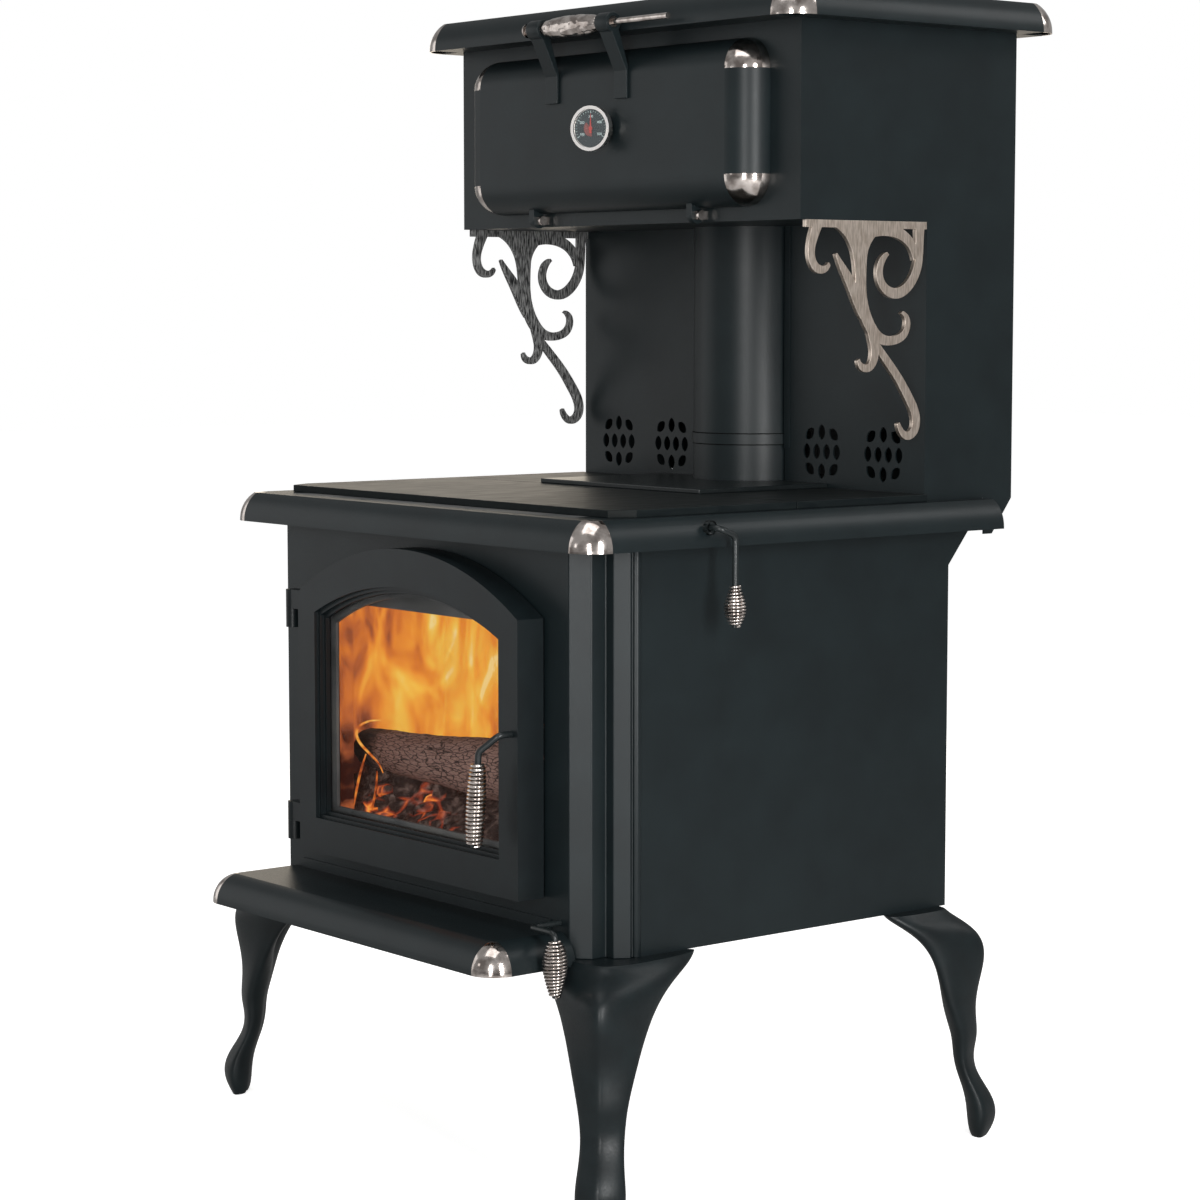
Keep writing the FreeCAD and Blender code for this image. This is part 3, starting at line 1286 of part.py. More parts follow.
doc.recompute()
coils = (("fire_door_grip", latchGap), ("air_lever_grip", airGap), ("damper_lever_grip", damperGap))
for name, gap in coils:
    print(f"{name}: least gap between turns {gap:.2f} mm")
failed = [thing.Label for thing in doc.Objects if "Invalid" in thing.State or "Error" in thing.State]
failed += [piece.Label for piece in subParts if piece.Shape.isNull() or not piece.Shape.isValid()]
if failed:
    raise RuntimeError("failed: " + ", ".join(sorted(set(failed))))
os.makedirs("parts", exist_ok=True)
for piece in subParts:
    solids = piece.Shape.Solids
    shape = solids[0] if len(solids) == 1 else Part.makeCompound(solids)
    shape.exportStep(f"parts/{piece.Label}.step")
    print(f"{piece.Label}: {len(solids)} solid(s), {shape.Volume / 1000:.1f} cm3")
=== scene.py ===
import bpy
import bmesh
import math
import random
from mathutils import Matrix, Vector, noise


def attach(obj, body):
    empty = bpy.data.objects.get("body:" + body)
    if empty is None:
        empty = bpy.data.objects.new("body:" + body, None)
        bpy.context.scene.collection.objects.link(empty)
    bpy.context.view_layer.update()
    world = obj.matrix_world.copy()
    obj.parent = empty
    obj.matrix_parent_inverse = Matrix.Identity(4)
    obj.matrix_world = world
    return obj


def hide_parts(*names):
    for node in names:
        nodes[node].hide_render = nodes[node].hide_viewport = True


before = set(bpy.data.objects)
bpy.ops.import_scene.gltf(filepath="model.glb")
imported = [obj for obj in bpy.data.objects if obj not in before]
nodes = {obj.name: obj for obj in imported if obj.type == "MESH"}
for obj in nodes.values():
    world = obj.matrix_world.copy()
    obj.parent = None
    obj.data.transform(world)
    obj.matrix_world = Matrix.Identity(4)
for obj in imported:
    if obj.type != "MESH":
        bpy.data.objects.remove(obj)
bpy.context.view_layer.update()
print("frame loaded:", len(nodes), "nodes")

mm = 0.001


# helpers

def hexColour(text):
    channels = [int(text[i:i + 2], 16) / 255 for i in (1, 3, 5)]
    linear = [c / 12.92 if c <= 0.04045 else ((c + 0.055) / 1.055) ** 2.4 for c in channels]
    return (*linear, 1.0)


def addNode(tree, kind, inputs=None, **settings):
    made = tree.nodes.new(kind)
    for name, value in settings.items():
        setattr(made, name, value)
    for key, value in (inputs or {}).items():
        if isinstance(value, bpy.types.NodeSocket):
            tree.links.new(value, made.inputs[key])
        else:
            made.inputs[key].default_value = value
    return made


def startMaterial(name, **sockets):
    material = bpy.data.materials.new(name)
    material.use_nodes = True
    tree = material.node_tree
    shader = tree.nodes["Principled BSDF"]
    for key, value in sockets.items():
        shader.inputs[key.replace("_", " ")].default_value = value
    return material, tree, shader


# a colour ramp node filled from (place, hex) stops
def fillRamp(ramp, stops):
    elements = ramp.color_ramp.elements
    while len(elements) < len(stops):
        elements.new(0.5)
    for element, (place, colour) in zip(elements, stops):
        element.position = place
        element.color = hexColour(colour)
    return ramp


def dress(names, material):
    for name in names:
        node = nodes[name]
        node.data.materials.clear()
        node.data.materials.append(material)


def deselect():
    bpy.ops.object.select_all(action="DESELECT")


def pick(piece):
    deselect()
    piece.select_set(True)
    bpy.context.view_layer.objects.active = piece


def finishPiece(piece, name, body, material):
    piece.name = name
    piece.data.name = name
    piece.data.materials.clear()
    piece.data.materials.append(material)
    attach(piece, body)
    return piece


def applyPlace(piece):
    pick(piece)
    bpy.ops.object.transform_apply(location=True, rotation=True, scale=True)


def applyModifiers(piece):
    pick(piece)
    for modifier in list(piece.modifiers):
        bpy.ops.object.modifier_apply(modifier=modifier.name)


def smooth(piece, angle):
    pick(piece)
    bpy.ops.object.shade_smooth_by_angle(angle=math.radians(angle))


def joinPieces(pieces):
    deselect()
    for piece in pieces:
        piece.select_set(True)
    bpy.context.view_layer.objects.active = pieces[0]
    if len(pieces) > 1:
        bpy.ops.object.join()
    return bpy.context.view_layer.objects.active


# materials

# heat-proof stove paint on sheet steel: satin charcoal with a fine sprayed grit
paintLook = {"dark": "#0e1517", "light": "#121a1c", "mottleMm": 60, "gritMm": 1.4, "gritDepthMm": 0.05}


def makeStovePaint(name, look, rough, level):
    material, tree, shader = startMaterial(name)
    shader.inputs["Specular IOR Level"].default_value = level
    place = addNode(tree, "ShaderNodeTexCoord").outputs["Object"]
    mottle = addNode(tree, "ShaderNodeTexNoise",
                     {"Vector": place, "Scale": 1000 / look["mottleMm"], "Detail": 4.0})
    colour = fillRamp(addNode(tree, "ShaderNodeValToRGB", {"Fac": mottle.outputs["Fac"]}),
                      [(0.3, look["dark"]), (0.7, look["light"])])
    tree.links.new(colour.outputs["Color"], shader.inputs["Base Color"])
    # grit is drawn coarser than the real 0.2 mm so that it shows
    grit = addNode(tree, "ShaderNodeTexNoise", {"Vector": place, "Scale": 1000 / look["gritMm"], "Detail": 2.0})
    gloss = addNode(tree, "ShaderNodeMapRange",
                    {"Value": grit.outputs["Fac"], "From Min": 0.3, "From Max": 0.7,
                     "To Min": rough - 0.04, "To Max": rough + 0.05})
    tree.links.new(gloss.outputs["Result"], shader.inputs["Roughness"])
    bump = addNode(tree, "ShaderNodeBump", {"Height": grit.outputs["Fac"], "Strength": 0.35,
                                            "Distance": look["gritDepthMm"] * mm})
    tree.links.new(bump.outputs["Normal"], shader.inputs["Normal"])
    return material


stovePaint = makeStovePaint("stovePaint", paintLook, 0.4, 0.26)

# the same paint over a sand casting: coarser skin
castingLook = {"dark": "#0a1012", "light": "#10181a", "mottleMm": 35, "gritMm": 3.0, "gritDepthMm": 0.16}
castingPaint = makeStovePaint("castingPaint", castingLook, 0.4, 0.26)

# the door casting is finer and darker than the legs
doorLook = {"dark": "#0a0f11", "light": "#0f1618", "mottleMm": 50, "gritMm": 1.6, "gritDepthMm": 0.05}
doorPaint = makeStovePaint("doorPaint", doorLook, 0.38, 0.27)

# baked black enamel on the bent rods
rodLook = {"dark": "#141819", "light": "#1b2021", "mottleMm": 30, "gritMm": 1.0, "gritDepthMm": 0.02}
rodPaint = makeStovePaint("rodPaint", rodLook, 0.3, 0.35)

# painted shade: near-black paint for the rings in the corners of the pipe's bead, where its step shades the pipe
beadShadeLook = {"dark": "#040505", "light": "#080909", "mottleMm": 20, "gritMm": 2.0, "gritDepthMm": 0.05}
seamShadow = makeStovePaint("beadShadePaint", beadShadeLook, 0.8, 0.1)


# ground and blackened cooking plate: smooth, mirrors the room at a low angle, faint grinding swirl
cooktopLook = {"dark": "#0f1416", "light": "#171c1d", "swirlMm": 9, "rough": 0.44, "sheen": "#fff6ea",
               "rimLevel": 0.06, "topLevel": 0.25}


def makeCooktopIron(look):
    material, tree, shader = startMaterial("cooktopIron")
    shader.inputs["Specular Tint"].default_value = hexColour(look["sheen"])
    coords = addNode(tree, "ShaderNodeTexCoord")
    # only the top is ground, the rim is left dull
    upward = addNode(tree, "ShaderNodeSeparateXYZ", {"Vector": coords.outputs["Normal"]})
    ground = addNode(tree, "ShaderNodeMapRange",
                     {"Value": upward.outputs["Z"], "From Min": 0.5, "From Max": 0.9,
                      "To Min": look["rimLevel"], "To Max": look["topLevel"]})
    tree.links.new(ground.outputs["Result"], shader.inputs["Specular IOR Level"])
    stretched = addNode(tree, "ShaderNodeMapping",
                        {"Vector": coords.outputs["Object"], "Scale": (1.0, 0.18, 1.0)})
    swirl = addNode(tree, "ShaderNodeTexNoise",
                    {"Vector": stretched.outputs["Vector"], "Scale": 1000 / look["swirlMm"],
                     "Detail": 6.0, "Distortion": 0.6})
    colour = fillRamp(addNode(tree, "ShaderNodeValToRGB", {"Fac": swirl.outputs["Fac"]}),
                      [(0.3, look["dark"]), (0.7, look["light"])])
    tree.links.new(colour.outputs["Color"], shader.inputs["Base Color"])
    gloss = addNode(tree, "ShaderNodeMapRange",
                    {"Value": swirl.outputs["Fac"], "From Min": 0.3, "From Max": 0.7,
                     "To Min": look["rough"] - 0.05, "To Max": look["rough"] + 0.06})
    tree.links.new(gloss.outputs["Result"], shader.inputs["Roughness"])
    return material


cooktopIron = makeCooktopIron(cooktopLook)

# polished nickel plate: warm white metal with a slow ripple from hand buffing
nickelLook = {"base": "#d6cdc7", "deep": "#9b918b", "rippleMm": 14, "rippleDepthMm": 0.12, "rough": 0.13}


def makeNickel(name, look):
    material, tree, shader = startMaterial(name)
    shader.inputs["Metallic"].default_value = 1.0
    place = addNode(tree, "ShaderNodeTexCoord").outputs["Object"]
    ripple = addNode(tree, "ShaderNodeTexNoise",
                     {"Vector": place, "Scale": 1000 / look["rippleMm"], "Detail": 3.0})
    colour = fillRamp(addNode(tree, "ShaderNodeValToRGB", {"Fac": ripple.outputs["Fac"]}),
                      [(0.35, look["deep"]), (0.6, look["base"])])
    tree.links.new(colour.outputs["Color"], shader.inputs["Base Color"])
    gloss = addNode(tree, "ShaderNodeMapRange",
                    {"Value": ripple.outputs["Fac"], "From Min": 0.3, "From Max": 0.7,
                     "To Min": look["rough"] - 0.04, "To Max": look["rough"] + 0.07})
    tree.links.new(gloss.outputs["Result"], shader.inputs["Roughness"])
    bump = addNode(tree, "ShaderNodeBump", {"Height": ripple.outputs["Fac"], "Strength": 0.4,
                                            "Distance": look["rippleDepthMm"] * mm})
    tree.links.new(bump.outputs["Normal"], shader.inputs["Normal"])
    return material


polishedNickel = makeNickel("polishedNickel", nickelLook)

# brushed nickel on the thermometer: paler and softer than the polished plate
bezelLook = {"base": "#f4f1ee", "deep": "#dcd7d2", "rippleMm": 20, "rippleDepthMm": 0.04, "rough": 0.28}
brushedNickel = makeNickel("brushedNickel", bezelLook)

# satin nickel on a brass-coloured casting: bright linished face with grain running down the bracket;
# the faces turned one way get painted shade: a dark grainy tone with less metal
bracketLook = {"face": "#dccfc3", "grain": "#b5a698", "shadedTone": "#101112", "shadedToneLight": "#848483", "grainMm": 1.6}


def makeBracketMetal(name, look, shadedWhere):
    material, tree, shader = startMaterial(name)
    coords = addNode(tree, "ShaderNodeTexCoord")
    stretched = addNode(tree, "ShaderNodeMapping",
                        {"Vector": coords.outputs["Object"], "Scale": (1.0, 1.0, 0.12)})
    grain = addNode(tree, "ShaderNodeTexNoise", {"Vector": stretched.outputs["Vector"],
                                                 "Scale": 1000 / look["grainMm"], "Detail": 3.0})
    bright = fillRamp(addNode(tree, "ShaderNodeValToRGB", {"Fac": grain.outputs["Fac"]}),
                      [(0.35, look["grain"]), (0.62, look["face"])])
    shadedTone = fillRamp(addNode(tree, "ShaderNodeValToRGB", {"Fac": grain.outputs["Fac"]}),
                   [(0.42, look["shadedTone"]), (0.6, look["shadedToneLight"])])
    # painted shade: which way a face points picks the dark, less metallic tone
    facing = addNode(tree, "ShaderNodeSeparateXYZ", {"Vector": coords.outputs["Normal"]})
    shadedSide = addNode(tree, "ShaderNodeMath", {0: facing.outputs["X"], 1: -0.6}, operation=shadedWhere)
    colour = addNode(tree, "ShaderNodeMix", {"Factor": shadedSide.outputs["Value"], 6: bright.outputs["Color"],
                                             7: shadedTone.outputs["Color"]}, data_type="RGBA")
    tree.links.new(colour.outputs[2], shader.inputs["Base Color"])
    shadeMetallic = addNode(tree, "ShaderNodeMapRange",
                     {"Value": shadedSide.outputs["Value"], "To Min": 1.0, "To Max": 0.25})
    tree.links.new(shadeMetallic.outputs["Result"], shader.inputs["Metallic"])
    gloss = addNode(tree, "ShaderNodeMapRange",
                    {"Value": shadedSide.outputs["Value"], "To Min": 0.42, "To Max": 0.55})
    tree.links.new(gloss.outputs["Result"], shader.inputs["Roughness"])
    bump = addNode(tree, "ShaderNodeBump",
                   {"Height": grain.outputs["Fac"], "Strength": 0.5, "Distance": 0.15 * mm})
    tree.links.new(bump.outputs["Normal"], shader.inputs["Normal"])
    return material


# painted shade: the right bracket is darkened only on faces towards -X, the left one on every face but those
bracketRight = makeBracketMetal("satinNickelRight", bracketLook, "LESS_THAN")
bracketLeft = makeBracketMetal("satinNickelLeft", bracketLook, "GREATER_THAN")

# ceramic door glass: clear, a trace of smoke tint
doorGlass, glassTree, glassShader = startMaterial("ceramicGlass", Roughness=0.03, Specular_IOR_Level=0.25)
glassShader.inputs["Base Color"].default_value = hexColour("#1c1612")
glassPlace = addNode(glassTree, "ShaderNodeTexCoord").outputs["Object"]
haze = addNode(glassTree, "ShaderNodeTexNoise", {"Vector": glassPlace, "Scale": 9.0, "Detail": 3.0})
film = addNode(glassTree, "ShaderNodeMapRange", {"Value": haze.outputs["Fac"], "To Min": 0.05, "To Max": 0.16})
glassTree.links.new(film.outputs["Result"], glassShader.inputs["Alpha"])

# firebox plate greyed by heat, with blue-brown temper patches
steelLook = {"stops": [(0.25, "#3c3f40"), (0.5, "#616262"), (0.75, "#75736e")], "patchMm": 70}
fireSteel, steelTree, steelShader = startMaterial("heatGreyedSteel", Roughness=0.6, Metallic=0.4)
patches = addNode(steelTree, "ShaderNodeTexNoise",
                  {"Vector": addNode(steelTree, "ShaderNodeTexCoord").outputs["Object"],
                   "Scale": 1000 / steelLook["patchMm"], "Detail": 5.0})
temper = fillRamp(addNode(steelTree, "ShaderNodeValToRGB", {"Fac": patches.outputs["Fac"]}), steelLook["stops"])
steelTree.links.new(temper.outputs["Color"], steelShader.inputs["Base Color"])

# fired clay brick with soot
brickLook = {"stops": [(0.3, "#2d2620"), (0.48, "#8a7355"), (0.75, "#b89b73")], "sootMm": 90, "grainMm": 3}
fireBrick, brickTree, brickShader = startMaterial("firedClay", Roughness=0.9)
brickPlace = addNode(brickTree, "ShaderNodeTexCoord").outputs["Object"]
soot = addNode(brickTree, "ShaderNodeTexNoise", {"Vector": brickPlace, "Scale": 1000 / brickLook["sootMm"],
                                                 "Detail": 6.0})
clay = fillRamp(addNode(brickTree, "ShaderNodeValToRGB", {"Fac": soot.outputs["Fac"]}), brickLook["stops"])
brickTree.links.new(clay.outputs["Color"], brickShader.inputs["Base Color"])
sand = addNode(brickTree, "ShaderNodeTexNoise", {"Vector": brickPlace, "Scale": 1000 / brickLook["grainMm"]})
brickBump = addNode(brickTree, "ShaderNodeBump",
                    {"Height": sand.outputs["Fac"], "Strength": 0.6, "Distance": 0.4 * mm})
brickTree.links.new(brickBump.outputs["Normal"], brickShader.inputs["Normal"])

# knitted glass-fibre rope, grey with soot
ropeLook = {"stops": [(0.35, "#4d4c49"), (0.65, "#a3a19a")], "stitchMm": 3.2}
gasketRope, ropeTree, ropeShader = startMaterial("glassRope", Roughness=0.95)
ropePlace = addNode(ropeTree, "ShaderNodeTexCoord").outputs["Object"]
stitches = addNode(ropeTree, "ShaderNodeTexVoronoi",
                   {"Vector": ropePlace, "Scale": 1000 / ropeLook["stitchMm"]})
knit = fillRamp(addNode(ropeTree, "ShaderNodeValToRGB", {"Fac": stitches.outputs["Distance"]}),
                ropeLook["stops"])
ropeTree.links.new(knit.outputs["Color"], ropeShader.inputs["Base Color"])
ropeBump = addNode(ropeTree, "ShaderNodeBump", {"Height": stitches.outputs["Distance"], "Strength": 0.8,
                                                "Distance": 0.8 * mm})
ropeTree.links.new(ropeBump.outputs["Normal"], ropeShader.inputs["Normal"])

# enamelled needle and dial inks
needleRed, needleTree, needleShader = startMaterial("needleEnamel", Roughness=0.4)
needleFleck = addNode(needleTree, "ShaderNodeTexNoise",
                      {"Vector": addNode(needleTree, "ShaderNodeTexCoord").outputs["Object"], "Scale": 900.0})
needleTone = fillRamp(addNode(needleTree, "ShaderNodeValToRGB", {"Fac": needleFleck.outputs["Fac"]}),
                      [(0.3, "#8f2f2b"), (0.7, "#a8403a")])
needleTree.links.new(needleTone.outputs["Color"], needleShader.inputs["Base Color"])

dress(nodes, stovePaint)
dress([name for name in nodes if name.startswith("leg_")], castingPaint)
dress(["fire_door_frame", "fire_door_hinges"], doorPaint)
dress(["fire_door_latch", "air_lever", "damper_lever", "flue_base_plate"], rodPaint)
dress(["cooktop_front_plate", "cooktop_rear_plate"], cooktopIron)
dress(["ash_shelf_caps", "cooktop_trim_caps", "cornice_caps", "warming_door_caps", "warming_door_handle_bar",
       "warming_door_hinge_pins", "fire_door_grip", "air_lever_grip",
       "damper_lever_grip"], polishedNickel)
dress(["thermometer_case"], brushedNickel)
dress(["scroll_bracket_right"], bracketRight)
dress(["scroll_bracket_left"], bracketLeft)
dress(["fire_door_glass"], doorGlass)
dress(["firebox_shell", "baffle_plate", "airwash_deflector", "secondary_air_tubes",
       "fire_door_glass_retainer"], fireSteel)
dress(["firebricks"], fireBrick)
dress(["thermometer_needle"], needleRed)
print("materials on the CAD nodes")


# edges of the bent and cast pieces are eased so that they catch the light
# width of the easing in mm
edgeRounds = {"corner_post_left": 1.2, "corner_post_right": 1.2, "fire_door_frame": 2.6,
              "cooktop_front_plate": 0.8, "cooktop_rear_plate": 0.8, "flue_base_plate": 1.2,
              "scroll_bracket_left": 0.7, "scroll_bracket_right": 0.7,
              "warming_door_handle_straps": 0.8, "warming_door_hinge_hooks": 0.8}
for name, width in edgeRounds.items():
    weld = nodes[name].modifiers.new("joinTriangles", "WELD")
    weld.merge_threshold = 0.005 * mm
    flat = nodes[name].modifiers.new("joinFlats", "DECIMATE")
    flat.decimate_type = "DISSOLVE"
    flat.angle_limit = math.radians(0.5)
    ease = nodes[name].modifiers.new("easedEdges", "BEVEL")
    ease.width = width * mm
    ease.segments = 3
    ease.limit_method = "ANGLE"
    ease.angle_limit = math.radians(40)
print("edges eased")


# fire: logs, ember bed, flames

# bark: furrowed grey-brown plates with dark cracks, charred at the ends; a dull emission in the bark's own tones
# is painted light on the logs
logs = {
    "frontLog": {"start": (-0.224, -0.2225, 0.4705), "end": (0.19, -0.238, 0.478), "radius": 0.0325,
                 "taper": 0.008, "seed": 3},
    "rearLog": {"start": (-0.207, -0.165, 0.44), "end": (0.12, -0.02, 0.455), "radius": 0.029,
                "taper": 0.0, "seed": 8},
    "backLog": {"start": (-0.14, 0.055, 0.452), "end": (0.2, 0.075, 0.458), "radius": 0.036,
                "taper": 0.0, "seed": 14},
}
barkLook = {"stops": [(0.16, "#0e0908"), (0.3, "#4a352f"), (0.55, "#735850"), (0.85, "#9c7f75")],
            "plateMm": 7, "crackMm": 21, "charFrom": -0.165, "charTo": -0.195}


def makeBark(look):
    material, tree, shader = startMaterial("charredBark", Roughness=0.85)
    coords = addNode(tree, "ShaderNodeTexCoord")
    place = coords.outputs["UV"]
    plates = addNode(tree, "ShaderNodeTexNoise",
                     {"Vector": place, "Scale": 1000 / look["plateMm"], "Detail": 3.0})
    # cracks wander along the log
    wander = addNode(tree, "ShaderNodeTexNoise", {"Vector": place, "Scale": 60.0, "Detail": 2.0})
    bent = addNode(tree, "ShaderNodeVectorMath", {0: wander.outputs["Color"], 1: (0.012, 0.012, 0.0)},
                   operation="MULTIPLY")
    astray = addNode(tree, "ShaderNodeVectorMath", {0: place, 1: bent.outputs["Vector"]})
    cracks = addNode(tree, "ShaderNodeTexVoronoi",
                     {"Vector": astray.outputs["Vector"], "Scale": 1000 / look["crackMm"]},
                     feature="DISTANCE_TO_EDGE")
    gap = addNode(tree, "ShaderNodeMapRange", {"Value": cracks.outputs["Distance"], "From Min": 0.01,
                                               "From Max": 0.09, "To Min": -0.1, "To Max": 0.4})
    grain = addNode(tree, "ShaderNodeMath", {0: plates.outputs["Fac"], 1: 0.55}, operation="MULTIPLY")
    mixed = addNode(tree, "ShaderNodeMath", {0: grain.outputs["Value"], 1: gap.outputs["Result"]},
                    operation="ADD")
    spot = addNode(tree, "ShaderNodeSeparateXYZ", {"Vector": coords.outputs["Object"]})
    burnt = addNode(tree, "ShaderNodeMapRange", {"Value": spot.outputs["X"], "From Min": look["charFrom"],
                                                 "From Max": look["charTo"], "To Min": 0.0, "To Max": 0.5})
    level = addNode(tree, "ShaderNodeMath", {0: mixed.outputs["Value"], 1: burnt.outputs["Result"]},
                    operation="SUBTRACT")
    colour = fillRamp(addNode(tree, "ShaderNodeValToRGB", {"Fac": level.outputs["Value"]}), look["stops"])
    tree.links.new(colour.outputs["Color"], shader.inputs["Base Color"])
    # painted light: the bark emits its own dull brown-grey tone, standing in for the firelight and lamp light on
    # the logs
    glow = fillRamp(addNode(tree, "ShaderNodeValToRGB", {"Fac": level.outputs["Value"]}),
                    [(0.2, "#0b0605"), (0.45, "#271813"), (0.8, "#4a342c")])
    tree.links.new(glow.outputs["Color"], shader.inputs["Emission Color"])
    shader.inputs["Emission Strength"].default_value = 1.0
    bump = addNode(tree, "ShaderNodeBump",
                   {"Height": mixed.outputs["Value"], "Strength": 0.7, "Distance": 2.0 * mm})
    tree.links.new(bump.outputs["Normal"], shader.inputs["Normal"])
    return material


charredBark = makeBark(barkLook)


def makeLog(name, log):
    start, end = Vector(log["start"]), Vector(log["end"])
    length = (end - start).length
    deselect()
    bpy.ops.mesh.primitive_cylinder_add(vertices=72, radius=log["radius"], depth=length, end_fill_type="NGON")
    piece = bpy.context.object
    bpy.ops.object.mode_set(mode="EDIT")
    for share in [step / 60 for step in range(1, 60)]:
        bpy.ops.mesh.select_all(action="SELECT")
        bpy.ops.mesh.bisect(plane_co=(0, 0, length * (share - 0.5)), plane_no=(0, 0, 1))
    bpy.ops.object.mode_set(mode="OBJECT")
    # charred ends break inwards in rings
    mesh = bmesh.new()
    mesh.from_mesh(piece.data)
    caps = [face for face in mesh.faces if abs(face.normal.z) > 0.9]
    for cap in caps:
        inner = [cap]
        for ring in (0.2, 0.3, 0.4):
            bmesh.ops.inset_individual(mesh, faces=inner, thickness=log["radius"] * ring * 0.8,
                                       depth=-log["radius"] * 0.05)
    offset = Vector((log["seed"], log["seed"] * 0.7, 0))
    for vert in mesh.verts:
        out = Vector((vert.co.x, vert.co.y, 0))
        if out.length < 1e-6:
            continue
        spot = Vector((vert.co.x * 70, vert.co.y * 70, vert.co.z * 22)) + offset
        lump = noise.noise(spot * 0.35) * 3.2 + noise.noise(spot) * 1.5
        furrow = abs(noise.noise(Vector((vert.co.x * 160, vert.co.y * 160, vert.co.z * 45)) + offset))
        grown = log["taper"] * 2 * vert.co.z / length * out.length / log["radius"]
        vert.co += out.normalized() * (grown + (lump + furrow * 2.5 - 0.8) * mm)
    # unroll a UV map in metres so that the bark runs along the log
    layer = mesh.loops.layers.uv.new("bark")
    for face in mesh.faces:
        middle = face.calc_center_median()
        around = math.atan2(middle.y, middle.x)
        for loop in face.loops:
            angle = math.atan2(loop.vert.co.y, loop.vert.co.x)
            angle = around + (angle - around + math.pi) % (2 * math.pi) - math.pi
            loop[layer].uv = (angle * log["radius"], loop.vert.co.z * 0.45)
    mesh.to_mesh(piece.data)
    mesh.free()
    along = (end - start).normalized()
    turn = along.to_track_quat("Z", "X").to_matrix().to_4x4()
    piece.matrix_world = Matrix.Translation((start + end) / 2) @ turn
    applyPlace(piece)
    smooth(piece, 50)
    return finishPiece(piece, name, "stove", charredBark)


for name, log in logs.items():
    makeLog(name, log)
print("logs laid")

# ember bed: a mound of ash and charcoal that glows in its cracks
bed = {"halfWidth": 0.246, "front": -0.284, "rear": 0.198, "floor": 0.335, "top": 0.43, "lip": 0.396,
       "slope": 0.07, "rim": 0.012, "skirt": 0.006}
emberLook = {"stops": [(0.32, "#0d0a09"), (0.5, "#382c28"), (0.62, "#75625a"), (0.8, "#b3a197")],
             "glow": [(0.0, "#ffb04a"), (0.11, "#f07a2c"), (0.21, "#8a3014"), (0.33, "#1c0d08")], "lumpMm": 26}


def makeEmbers(look):
    material, tree, shader = startMaterial("glowingEmbers", Roughness=0.95)
    place = addNode(tree, "ShaderNodeTexCoord").outputs["Object"]
    ash = addNode(tree, "ShaderNodeTexNoise",
                  {"Vector": place, "Scale": 1000 / look["lumpMm"] * 2, "Detail": 6.0})
    colour = fillRamp(addNode(tree, "ShaderNodeValToRGB", {"Fac": ash.outputs["Fac"]}), look["stops"])
    tree.links.new(colour.outputs["Color"], shader.inputs["Base Color"])
    cracks = addNode(tree, "ShaderNodeTexVoronoi", {"Vector": place, "Scale": 1000 / look["lumpMm"]},
                     feature="DISTANCE_TO_EDGE")
    heat = addNode(tree, "ShaderNodeTexNoise", {"Vector": place, "Scale": 14.0, "Detail": 3.0})
    cold = addNode(tree, "ShaderNodeMapRange",
                   {"Value": heat.outputs["Fac"], "From Min": 0.66, "From Max": 0.48,
                    "To Min": 0.0, "To Max": 0.36})
    level = addNode(tree, "ShaderNodeMath", {0: cracks.outputs["Distance"], 1: cold.outputs["Result"]},
                    operation="ADD")
    glow = fillRamp(addNode(tree, "ShaderNodeValToRGB", {"Fac": level.outputs["Value"]}), look["glow"])
    tree.links.new(glow.outputs["Color"], shader.inputs["Emission Color"])
    shader.inputs["Emission Strength"].default_value = 1.0
    bump = addNode(tree, "ShaderNodeBump", {"Height": ash.outputs["Fac"], "Strength": 0.8, "Distance": 3 * mm})
    tree.links.new(bump.outputs["Normal"], shader.inputs["Normal"])
    return material


glowingEmbers = makeEmbers(emberLook)


def bedHeight(x, y):
    share = min(max((y - bed["front"]) / bed["slope"], 0), 1)
    rise = share * share * (3 - 2 * share)
    top = bed["lip"] + (bed["top"] - bed["lip"]) * rise
    lump = noise.noise(Vector((x * 22, y * 22, 0.3))) * 0.012
    lump += noise.noise(Vector((x * 60, y * 60, 2.0))) * 0.005
    edge = min(bed["halfWidth"] - abs(x), y - bed["front"], bed["rear"] - y)
    drop = min(max(edge / bed["rim"], 0), 1)
    return bed["floor"] + (top + lump - bed["floor"]) * math.sqrt(drop)


deselect()
bpy.ops.mesh.primitive_grid_add(x_subdivisions=120, y_subdivisions=120, size=2)
emberBed = bpy.context.object
bpy.ops.object.mode_set(mode="EDIT")
bpy.ops.mesh.select_all(action="SELECT")
bpy.ops.mesh.extrude_region_move(TRANSFORM_OT_translate={"value": (0, 0, 1)})
bpy.ops.object.mode_set(mode="OBJECT")
for vert in emberBed.data.vertices:
    x = vert.co.x * bed["halfWidth"]
    y = bed["front"] + (vert.co.y + 1) / 2 * (bed["rear"] - bed["front"])
    vert.co = (x, y, bedHeight(x, y) if vert.co.z > 0.5 else bed["floor"] - bed["skirt"])
bpy.ops.object.mode_set(mode="EDIT")
bpy.ops.mesh.select_all(action="SELECT")
bpy.ops.mesh.normals_make_consistent(inside=False)
bpy.ops.object.mode_set(mode="OBJECT")
smooth(emberBed, 60)
finishPiece(emberBed, "emberBed", "stove", glowingEmbers)

